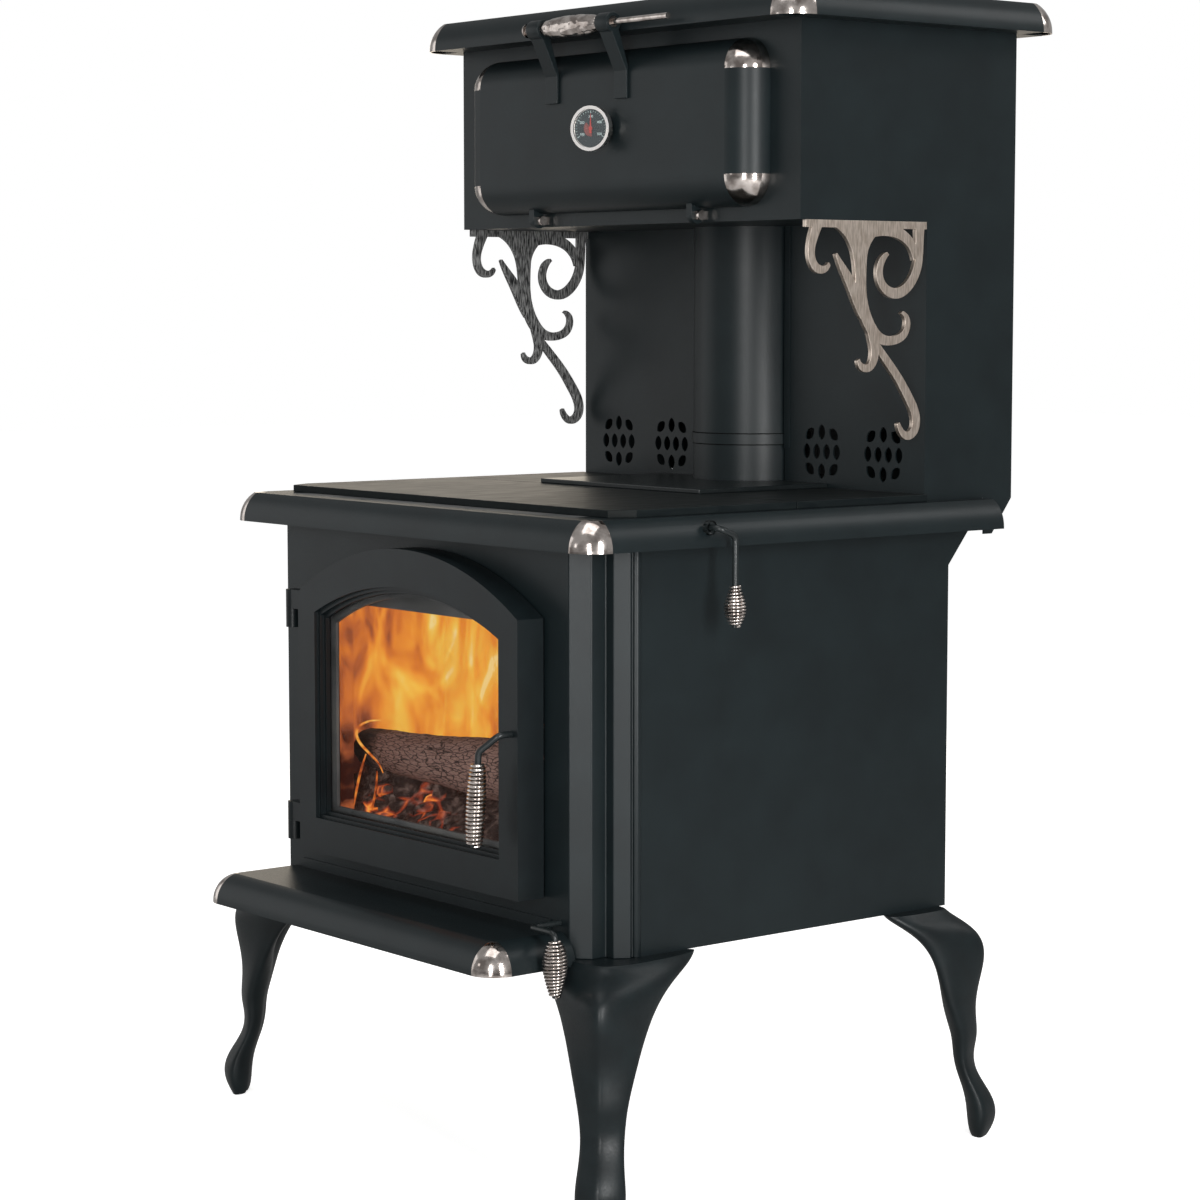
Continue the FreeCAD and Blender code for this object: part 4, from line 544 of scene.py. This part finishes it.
# loose charcoal on the bed
charcoal = {"count": 170, "small": 0.006, "large": 0.019, "seed": 21, "aside": 0.225, "start": 0.02,
            "depth": 0.3}
draw = random.Random(charcoal["seed"])
deselect()
bpy.ops.mesh.primitive_ico_sphere_add(subdivisions=2, radius=1)
firstLump = bpy.context.object
lumps = []
for index in range(charcoal["count"]):
    lump = firstLump.copy()
    lump.data = firstLump.data.copy()
    bpy.context.collection.objects.link(lump)
    size = draw.uniform(charcoal["small"], charcoal["large"])
    shape = Vector((draw.uniform(0.9, 1.9), draw.uniform(0.6, 1.1), draw.uniform(0.5, 0.9))) * size
    turn = Matrix.Rotation(draw.uniform(0, 6.28), 4, "Z") @ Matrix.Rotation(draw.uniform(-0.5, 0.5), 4, "X")
    x = draw.uniform(-charcoal["aside"], charcoal["aside"])
    y = bed["front"] + charcoal["start"] + charcoal["depth"] * draw.random() ** 1.6
    seat = Matrix.Translation((x, y, bedHeight(x, y) + shape.z * 0.3))
    for vert in lump.data.vertices:
        crack = 1 + 0.35 * noise.noise(vert.co * 1.9 + Vector((index, 0, 0)))
        flat = Vector([max(min(c * crack, 0.72), -0.72) for c in vert.co])
        vert.co = seat @ turn @ Vector((flat.x * shape.x, flat.y * shape.y, flat.z * shape.z))
    lumps.append(lump)
bpy.data.objects.remove(firstLump)
finishPiece(joinPieces(lumps), "charcoalLumps", "stove", glowingEmbers)
print("ember bed and", charcoal["count"], "lumps")

# flames: glowing sheets, one wrapped round the walls and ragged tongues in front of it; hottest at the core
flameColours = [(0.0, "#35160f"), (0.14, "#8a472c"), (0.28, "#bd6434"), (0.44, "#e07c32"), (0.58, "#f49436"),
                (0.72, "#fca940"), (0.86, "#ffc24e"), (0.95, "#ffce62"), (1.0, "#ffdf92")]
fireCore = {"at": (-0.2, -0.07, 0.57), "from": 0.05, "to": 0.18, "level": (0.24, -0.17)}
fireCold = {"at": (-0.2, -0.27, 0.44), "from": 0.04, "to": 0.13, "level": (-0.34, 0.0)}


def makeFlame(name, foot, height, ragged):
    material, tree, shader = startMaterial(name, Roughness=1.0)
    shader.inputs["Base Color"].default_value = hexColour("#000000")
    shader.inputs["Specular IOR Level"].default_value = 0.0
    coords = addNode(tree, "ShaderNodeTexCoord")
    place = coords.outputs["UV"]
    tall = addNode(tree, "ShaderNodeMapping", {"Vector": place, "Scale": (15.0, 6.0, 1.0)})
    licks = addNode(tree, "ShaderNodeTexNoise", {"Vector": tall.outputs["Vector"], "Scale": 1.0, "Detail": 4.0,
                                                 "Roughness": 0.5, "Distortion": 2.0})
    level = addNode(tree, "ShaderNodeSeparateXYZ", {"Vector": place})
    fade = addNode(tree, "ShaderNodeMapRange",
                   {"Value": level.outputs["Y"], "From Min": foot, "From Max": height,
                    "To Min": 0.12, "To Max": 0.03})
    # bright round the core, dark and red at the near corner, where the bed smothers it
    warmth = fade.outputs["Result"]
    for spot in (fireCore, fireCold):
        away = addNode(tree, "ShaderNodeVectorMath", {0: coords.outputs["Object"], 1: spot["at"]},
                       operation="DISTANCE")
        near = addNode(tree, "ShaderNodeMapRange",
                       {"Value": away.outputs["Value"], "From Min": spot["from"], "From Max": spot["to"],
                        "To Min": spot["level"][0], "To Max": spot["level"][1]},
                       interpolation_type="SMOOTHSTEP")
        added = addNode(tree, "ShaderNodeMath", {0: warmth, 1: near.outputs["Result"]}, operation="ADD")
        warmth = added.outputs["Value"]
    spread = addNode(tree, "ShaderNodeMath", {0: licks.outputs["Fac"], 1: 1.7}, operation="MULTIPLY")
    shifted = addNode(tree, "ShaderNodeMath", {0: spread.outputs["Value"], 1: -0.34}, operation="ADD")
    heat = addNode(tree, "ShaderNodeMath", {0: shifted.outputs["Value"], 1: warmth}, operation="ADD")
    colour = fillRamp(addNode(tree, "ShaderNodeValToRGB", {"Fac": heat.outputs["Value"]}), flameColours)
    tree.links.new(colour.outputs["Color"], shader.inputs["Emission Color"])
    shader.inputs["Emission Strength"].default_value = 1.0
    if ragged:
        veil = addNode(tree, "ShaderNodeMapRange", {"Value": heat.outputs["Value"], "From Min": 0.6,
                                                    "From Max": 1.0, "To Min": 0.0, "To Max": 0.85})
        tree.links.new(veil.outputs["Result"], shader.inputs["Alpha"])
    return material


wallFlame = makeFlame("wallFlame", 0.35, 0.66, False)
tongueFlame = makeFlame("tongueFlame", 0.42, 0.66, True)


# a standing sheet over a plan curve, its UV in metres along the curve and up
def flameSheet(name, plan, low, high, columns, rows, material):
    deselect()
    bpy.ops.mesh.primitive_grid_add(x_subdivisions=columns, y_subdivisions=rows, size=2, calc_uvs=True)
    piece = bpy.context.object
    layer = piece.data.uv_layers[0]
    lengths = [0.0]
    for before, after in zip(plan, plan[1:]):
        lengths.append(lengths[-1] + (Vector(after) - Vector(before)).length)
    spots = []
    for vert in piece.data.vertices:
        far = (vert.co.x + 1) / 2 * lengths[-1]
        step = min(max(index for index, length in enumerate(lengths) if length <= far + 1e-9), len(plan) - 2)
        share = (far - lengths[step]) / (lengths[step + 1] - lengths[step])
        spot = Vector(plan[step]).lerp(Vector(plan[step + 1]), share)
        up = low + (vert.co.y + 1) / 2 * (high - low)
        spots.append((far, up))
        vert.co = (spot.x, spot.y, up)
    for loop in piece.data.loops:
        layer.data[loop.index].uv = spots[loop.vertex_index]
    smooth(piece, 80)
    return finishPiece(piece, name, "stove", material)


def roundedPlan(halfWidth, front, rear, power):
    plan = []
    for step in range(61):
        angle = math.pi * (1 + step / 60)
        x = math.copysign(abs(math.cos(angle)) ** power, math.cos(angle)) * halfWidth
        y = rear - (rear - front) * (1 - abs(math.sin(angle)) ** power)
        plan.append((x, y))
    return plan


flameSheet("wallOfFlame", roundedPlan(0.242, -0.285, 0.2, 0.35), 0.34, 0.664, 120, 24, wallFlame)
# painted light: a flame-coloured glowing sheet laid along the left jamb of the mouth, standing in for the
# firelight on the black jamb
flameSheet("jambFirelightSheet", [(-0.1575, -0.3135), (-0.1585, -0.292)], 0.402, 0.655, 6, 24, wallFlame)
tongues = {
    "tongueMiddle": [(-0.2, -0.12), (-0.1, -0.09), (0.0, -0.1), (0.1, -0.07), (0.2, -0.1)],
    "tongueBack": [(-0.2, 0.03), (-0.1, 0.06), (0.02, 0.04), (0.12, 0.07), (0.22, 0.03)],
}
for name, plan in tongues.items():
    flameSheet(name, plan, 0.42, 0.66, 40, 24, tongueFlame)

# thin licks that curl round the charred end of the front log, drawn across and up on one upright plane
lickPlane = -0.273
lickRadius = 1.8 * mm
licks = {
    "curl": [(-0.1252, 0.5189), (-0.1407, 0.5179), (-0.1575, 0.5142), (-0.1743, 0.5073), (-0.1823, 0.4981),
             (-0.1768, 0.4871), (-0.1613, 0.4786), (-0.1435, 0.4704), (-0.1281, 0.4632), (-0.1216, 0.4525)],
    "stem": [(-0.1591, 0.4724), (-0.1683, 0.4560), (-0.1764, 0.4383), (-0.1822, 0.4196), (-0.1882, 0.4007)],
    "spur": [(-0.1349, 0.4535), (-0.1350, 0.4394), (-0.1386, 0.4224), (-0.1466, 0.4022)],
}
lickFlame, lickTree, lickShader = startMaterial("lickFlame", Roughness=1.0, Specular_IOR_Level=0.0)
lickShader.inputs["Base Color"].default_value = hexColour("#000000")
lickPlace = addNode(lickTree, "ShaderNodeTexCoord").outputs["Object"]
flicker = addNode(lickTree, "ShaderNodeTexNoise", {"Vector": lickPlace, "Scale": 70.0, "Detail": 2.0})
# redder towards the bed
lickRise = addNode(lickTree, "ShaderNodeSeparateXYZ", {"Vector": lickPlace})
lickLow = addNode(lickTree, "ShaderNodeMapRange",
                  {"Value": lickRise.outputs["Z"], "From Min": 0.41, "From Max": 0.49,
                   "To Min": -0.26, "To Max": 0.0})
lickHeat = addNode(lickTree, "ShaderNodeMath", {0: flicker.outputs["Fac"], 1: lickLow.outputs["Result"]},
                   operation="ADD")
lickTone = fillRamp(addNode(lickTree, "ShaderNodeValToRGB", {"Fac": lickHeat.outputs["Value"]}),
                    [(0.2, "#7a2f18"), (0.36, "#d2692c"), (0.5, "#f59a3c"), (0.68, "#ffcb66")])
lickTree.links.new(lickTone.outputs["Color"], lickShader.inputs["Emission Color"])
lickShader.inputs["Emission Strength"].default_value = 1.0
lickPieces = []
for name, spots in licks.items():
    path = bpy.data.curves.new(name, "CURVE")
    path.dimensions = "3D"
    path.bevel_depth = lickRadius
    path.bevel_resolution = 2
    path.use_fill_caps = True
    line = path.splines.new("NURBS")
    line.points.add(len(spots) - 1)
    line.use_endpoint_u = True
    line.order_u = 4
    for index, (x, z) in enumerate(spots):
        line.points[index].co = (x, lickPlane, z, 1)
        line.points[index].radius = 0.25 + 0.75 * math.sin(math.pi * (index + 0.4) / len(spots))
    lick = bpy.data.objects.new(name, path)
    bpy.context.collection.objects.link(lick)
    pick(lick)
    bpy.ops.object.convert(target="MESH")
    lickPieces.append(bpy.context.object)
flameLicks = joinPieces(lickPieces)
smooth(flameLicks, 80)
finishPiece(flameLicks, "flameLicks", "stove", lickFlame)
print("flames")


# rope gasket round the back of the fire door, proud of its groove
gasketPath = {"centre": 0.023, "half": 0.2, "bottom": 0.381, "spring": 0.652, "rise": 0.0675, "y": -0.3062,
              "radius": 0.0044}


def archPoints(path):
    half, rise = path["half"], path["rise"]
    radius = (half * half + rise * rise) / (2 * rise)
    reach = math.asin(half / radius)
    points = [(-half, path["bottom"]), (half, path["bottom"]), (half, path["spring"])]
    for step in range(1, 32):
        angle = reach - 2 * reach * step / 32
        points.append((radius * math.sin(angle), path["spring"] + rise - radius + radius * math.cos(angle)))
    points.append((-half, path["spring"]))
    return [(path["centre"] + x, path["y"], z) for x, z in points]


ropeCurve = bpy.data.curves.new("gasketPath", "CURVE")
ropeCurve.dimensions = "3D"
ropeCurve.bevel_depth = gasketPath["radius"]
ropeCurve.bevel_resolution = 5
ropeLine = ropeCurve.splines.new("POLY")
ropeSpots = archPoints(gasketPath)
ropeLine.points.add(len(ropeSpots) - 1)
for point, spot in zip(ropeLine.points, ropeSpots):
    point.co = (*spot, 1)
ropeLine.use_cyclic_u = True
rope = bpy.data.objects.new("ropeGasket", ropeCurve)
bpy.context.collection.objects.link(rope)
pick(rope)
bpy.ops.object.convert(target="MESH")
rope = bpy.context.object
smooth(rope, 60)
finishPiece(rope, "ropeGasket", "fire_door", gasketRope)
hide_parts("fire_door_gasket")
print("gasket rope")


# thermometer face: slate dial with pale marks, generic numbers and a red sector, under a lens
dial = {"centre": Vector((0.01684, -0.04809, 1.259)), "turn": 20, "radius": 0.0237, "marks": 25, "sweep": 240,
        "markInset": 1.6 * mm, "longMark": 3.4 * mm, "shortMark": 2.0 * mm, "ink": 0.1 * mm,
        "numbers": ("100", "200", "300", "400", "500"), "numberRing": 14.6 * mm, "numberSize": 4.6 * mm,
        "sector": 10 * mm}
dialRight = Vector((math.cos(math.radians(dial["turn"])), math.sin(math.radians(dial["turn"])), 0))
dialOut = Vector((math.sin(math.radians(dial["turn"])), -math.cos(math.radians(dial["turn"])), 0))
dialPlace = Matrix((dialRight, Vector((0, 0, 1)), dialOut)).transposed().to_4x4()
dialPlace.translation = dial["centre"]


def inkMaterial(name, dark, light, rough):
    material, tree, shader = startMaterial(name, Roughness=rough)
    place = addNode(tree, "ShaderNodeTexCoord").outputs["Object"]
    fleck = addNode(tree, "ShaderNodeTexNoise", {"Vector": place, "Scale": 700.0, "Detail": 3.0})
    tone = fillRamp(addNode(tree, "ShaderNodeValToRGB", {"Fac": fleck.outputs["Fac"]}),
                    [(0.3, dark), (0.7, light)])
    tree.links.new(tone.outputs["Color"], shader.inputs["Base Color"])
    return material


dialSlate = inkMaterial("dialSlate", "#20272a", "#2b3235", 0.5)
dialPale = inkMaterial("dialPaleInk", "#9db0ae", "#b9c9c6", 0.6)
dialRed = inkMaterial("dialRedInk", "#5e3432", "#74403c", 0.6)


def dialDisc(radius, low, high):
    deselect()
    bpy.ops.mesh.primitive_circle_add(vertices=96, radius=radius, fill_type="NGON", location=(0, 0, low))
    disc = bpy.context.object
    bpy.ops.object.mode_set(mode="EDIT")
    bpy.ops.mesh.select_all(action="SELECT")
    bpy.ops.mesh.extrude_region_move(TRANSFORM_OT_translate={"value": (0, 0, high - low)})
    bpy.ops.mesh.select_all(action="SELECT")
    bpy.ops.mesh.normals_make_consistent(inside=False)
    bpy.ops.object.mode_set(mode="OBJECT")
    return disc


def onDial(piece, name, material):
    applyPlace(piece)
    piece.matrix_world = dialPlace
    applyPlace(piece)
    return finishPiece(piece, name, "warming_door", material)


onDial(dialDisc(dial["radius"], 0, dial["ink"]), "dialFace", dialSlate)
marks = []
for index in range(dial["marks"]):
    angle = math.radians(-dial["sweep"] / 2 + dial["sweep"] * index / (dial["marks"] - 1))
    major = index % 6 == 0
    length = dial["longMark"] if major else dial["shortMark"]
    deselect()
    bpy.ops.mesh.primitive_cube_add(size=1, scale=((0.7 if major else 0.4) * mm, length, dial["ink"]),
                                    location=(0, dial["radius"] - dial["markInset"] - length / 2, 0.15 * mm))
    mark = bpy.context.object
    applyPlace(mark)
    mark.data.transform(Matrix.Rotation(-angle, 4, "Z"))
    marks.append(mark)
for index, number in enumerate(dial["numbers"]):
    angle = math.radians(-dial["sweep"] / 2 + dial["sweep"] * index / (len(dial["numbers"]) - 1))
    deselect()
    bpy.ops.object.text_add(location=(math.sin(angle) * dial["numberRing"], math.cos(angle) * dial["numberRing"],
                                      0.12 * mm))
    figure = bpy.context.object
    figure.data.body = number
    figure.data.size = dial["numberSize"]
    figure.data.align_x = "CENTER"
    figure.data.align_y = "CENTER"
    figure.data.extrude = 0.05 * mm
    bpy.ops.object.convert(target="MESH")
    figure = bpy.context.object
    applyPlace(figure)
    marks.append(figure)
onDial(joinPieces(marks), "dialMarks", dialPale)
deselect()
bpy.ops.mesh.primitive_circle_add(vertices=64, radius=dial["sector"], location=(0, 0, dial["ink"]))
band = bpy.context.object
bpy.ops.object.mode_set(mode="EDIT")
bpy.ops.mesh.select_all(action="SELECT")
bpy.ops.mesh.extrude_region_move()
bpy.ops.transform.resize(value=(0.25, 0.25, 1))
# the lower left of the ring is kept
for away in ((0.985, 0.174, 0), (0.766, 0.643, 0)):
    bpy.ops.mesh.select_all(action="SELECT")
    bpy.ops.mesh.bisect(plane_co=(0, 0, 0), plane_no=away, clear_outer=True)
bpy.ops.mesh.select_all(action="SELECT")
bpy.ops.mesh.extrude_region_move(TRANSFORM_OT_translate={"value": (0, 0, dial["ink"])})
bpy.ops.mesh.select_all(action="SELECT")
bpy.ops.mesh.normals_make_consistent(inside=False)
bpy.ops.object.mode_set(mode="OBJECT")
onDial(band, "dialBand", dialRed)

lens = dialDisc(dial["radius"], 2.0 * mm, 2.6 * mm)
edge = lens.modifiers.new("lensEdge", "BEVEL")
edge.width = 0.3 * mm
edge.segments = 3
edge.limit_method = "ANGLE"
applyModifiers(lens)
lensGlass, lensTree, lensShader = startMaterial("dialLens", Roughness=0.04, Alpha=0.015, Specular_IOR_Level=0.1)
lensShader.inputs["Base Color"].default_value = hexColour("#dfe6e6")
onDial(lens, "dialLens", lensGlass)
print("thermometer face")


# hammered sleeve on the warming door's handle
sleeve = {"left": -0.0735, "right": 0.0385, "y": -0.0498, "z": 1.387, "end": 0.0077, "belly": 0.0137}
deselect()
bpy.ops.mesh.primitive_cylinder_add(vertices=72, radius=1, depth=2, end_fill_type="NGON")
grip = bpy.context.object
bpy.ops.object.mode_set(mode="EDIT")
for share in [step / 72 for step in range(1, 72)]:
    bpy.ops.mesh.select_all(action="SELECT")
    bpy.ops.mesh.bisect(plane_co=(0, 0, 2 * share - 1), plane_no=(0, 0, 1))
bpy.ops.object.mode_set(mode="OBJECT")
for vert in grip.data.vertices:
    share = vert.co.z
    radius = sleeve["end"] + (sleeve["belly"] - sleeve["end"]) * (1 - share * share) ** 0.6
    out = Vector((vert.co.x, vert.co.y, 0))
    along = (share + 1) / 2 * (sleeve["right"] - sleeve["left"])
    ripple = noise.noise(Vector((vert.co.x * 2.6, vert.co.y * 2.6, along * 150)))
    reach = radius + (ripple * 0.8 - abs(ripple) * 0.5) * mm
    vert.co = (sleeve["left"] + along, sleeve["y"] + out.x * reach, sleeve["z"] + out.y * reach)
bpy.ops.object.mode_set(mode="EDIT")
bpy.ops.mesh.select_all(action="SELECT")
bpy.ops.mesh.normals_make_consistent(inside=False)
bpy.ops.object.mode_set(mode="OBJECT")
smooth(grip, 50)
finishPiece(grip, "handleSleeve", "warming_door", polishedNickel)
print("handle sleeve")


# washer where the damper rod leaves the trim
washer = {"x": 0.3725, "y": -0.1575, "z": 0.785, "outer": 0.0075, "bore": 0.0037, "wall": 0.002}
deselect()
bpy.ops.mesh.primitive_cylinder_add(vertices=48, radius=washer["outer"], depth=washer["wall"],
                                    end_fill_type="NGON")
ring = bpy.context.object
bpy.ops.object.mode_set(mode="EDIT")
bpy.ops.mesh.select_all(action="DESELECT")
bpy.ops.object.mode_set(mode="OBJECT")
for face in ring.data.polygons:
    face.select = abs(face.normal.z) > 0.9
bpy.ops.object.mode_set(mode="EDIT")
bpy.ops.mesh.inset(thickness=washer["outer"] - washer["bore"], use_individual=True)
bpy.ops.mesh.bridge_edge_loops()
bpy.ops.object.mode_set(mode="OBJECT")
rounded = ring.modifiers.new("washerEdge", "BEVEL")
rounded.width = 0.5 * mm
rounded.segments = 2
rounded.limit_method = "ANGLE"
applyModifiers(ring)
ring.rotation_euler = (0, math.pi / 2, 0)
ring.location = (washer["x"] + washer["wall"] / 2, washer["y"], washer["z"])
applyPlace(ring)
smooth(ring, 40)
finishPiece(ring, "damperWasher", "damper", rodPaint)
print("damper washer")


# two dark rings in the corners above and below the pipe's bead: painted shade where the bead's step shades the
# pipe
beadShadeRings = {"axis": 0.2365, "heights": (0.8594, 0.8736), "radius": 0.0768, "half": 0.0007}
shadeRingMeshes = []
for height in beadShadeRings["heights"]:
    deselect()
    bpy.ops.mesh.primitive_torus_add(major_radius=beadShadeRings["radius"], minor_radius=beadShadeRings["half"],
                                     major_segments=96, minor_segments=8, location=(0, beadShadeRings["axis"], height))
    shadeRingMeshes.append(bpy.context.object)
    applyPlace(shadeRingMeshes[-1])
pipeBeadShade = joinPieces(shadeRingMeshes)
smooth(pipeBeadShade, 60)
finishPiece(pipeBeadShade, "pipeBeadShade", "stove", seamShadow)
print("pipe seams")


# floor, light and camera

floorLook = {"size": 40, "colour": "#cacaca", "seen": "#f4f4f4", "lift": 0.7}
deselect()
bpy.ops.mesh.primitive_plane_add(size=floorLook["size"])
floor = bpy.context.object
floor.name = "studioFloor"
floorPaint, floorTree, floorShader = startMaterial("paleFloor", Roughness=0.9, Specular_IOR_Level=0.0)
floorShader.inputs["Emission Color"].default_value = hexColour("#ffffff")
# the camera sees the floor whiter than it lights the stove
floorRay = addNode(floorTree, "ShaderNodeLightPath").outputs["Is Camera Ray"]
floorTone = addNode(floorTree, "ShaderNodeMix", {"Factor": floorRay, 6: hexColour(floorLook["colour"]),
                                                 7: hexColour(floorLook["seen"])}, data_type="RGBA")
floorTree.links.new(floorTone.outputs[2], floorShader.inputs["Base Color"])
seenFloor = addNode(floorTree, "ShaderNodeMath", {0: floorRay, 1: floorLook["lift"]}, operation="MULTIPLY")
floorTree.links.new(seenFloor.outputs["Value"], floorShader.inputs["Emission Strength"])
floor.data.materials.append(floorPaint)

world = bpy.data.worlds.new("paleStudio")
bpy.context.scene.world = world
world.use_nodes = True
sky = world.node_tree
sky.nodes.clear()
rays = addNode(sky, "ShaderNodeLightPath")
shown = addNode(sky, "ShaderNodeMath",
                {0: rays.outputs["Is Camera Ray"], 1: rays.outputs["Is Transmission Ray"]}, operation="MAXIMUM")
glow = addNode(sky, "ShaderNodeBackground", {"Color": hexColour("#ffffff"), "Strength": 0.34})
white = addNode(sky, "ShaderNodeBackground", {"Color": hexColour("#ffffff"), "Strength": 1.0})
mixed = addNode(sky, "ShaderNodeMixShader", {"Fac": shown.outputs["Value"], 1: glow.outputs["Background"],
                                             2: white.outputs["Background"]})
addNode(sky, "ShaderNodeOutputWorld", {"Surface": mixed.outputs["Shader"]})

# tall strip beside the camera for the chamfers, one to the right for the pipe, softboxes left, above and behind;
# a small one stands where the thermometer mirrors it and the warm one where the cooktop does
lamps = {
    "cameraStrip": {"at": (2.78, -3.5, 1.17), "aim": (0.2, -0.2, 0.9), "wide": 0.6, "tall": 2.3, "watts": 95},
    "rightStrip": {"at": (3.15, -0.75, 1.15), "aim": (0.0, 0.1, 1.0), "wide": 0.5, "tall": 2.0, "watts": 80},
    "leftSoftbox": {"at": (-2.9, -2.1, 1.3), "aim": (0.0, -0.2, 0.8), "wide": 2.6, "tall": 2.6, "watts": 17},
    "topSoftbox": {"at": (0.4, -0.9, 3.6), "aim": (0.0, 0.0, 0.6), "wide": 2.2, "tall": 2.2, "watts": 32},
    "rearSoftbox": {"at": (1.8, 2.4, 2.9), "aim": (0.2, 0.0, 0.9), "wide": 1.2, "tall": 1.2, "watts": 17},
    "bezelPanel": {"at": (-0.59, -3.19, 1.44), "aim": (0.02, -0.05, 1.26), "wide": 0.5, "tall": 0.5,
                   "watts": 1.5},
    "warmPanel": {"at": (-2.8, 2.2, 1.1), "aim": (0.0, 0.0, 0.8), "wide": 2.2, "tall": 1.6, "watts": 16,
                  "colour": "#fff0d8"},
}
for name, lamp in lamps.items():
    light = bpy.data.lights.new(name, "AREA")
    light.shape = "RECTANGLE"
    light.size = lamp["wide"]
    light.size_y = lamp["tall"]
    light.energy = lamp["watts"]
    light.color = hexColour(lamp.get("colour", "#ffffff"))[:3]
    lightObject = bpy.data.objects.new(name, light)
    bpy.context.collection.objects.link(lightObject)
    lightObject.visible_camera = False
    lightObject.location = lamp["at"]
    lightObject.rotation_euler = (Vector(lamp["aim"]) - Vector(lamp["at"])).to_track_quat("-Z", "Y").to_euler()

shot = {"at": (3.0519, -2.4747, 1.0385), "yaw": 51.187, "down": 5.44, "lens": 92.6}
lensData = bpy.data.cameras.new("photoCamera")
lensData.lens = shot["lens"]
lensData.sensor_width = 36
camera = bpy.data.objects.new("photoCamera", lensData)
bpy.context.collection.objects.link(camera)
camera.location = shot["at"]
camera.rotation_euler = (math.radians(90 - shot["down"]), 0, math.radians(shot["yaw"]))
bpy.context.scene.camera = camera
bpy.context.scene.view_settings.view_transform = "Standard"
print("studio set")
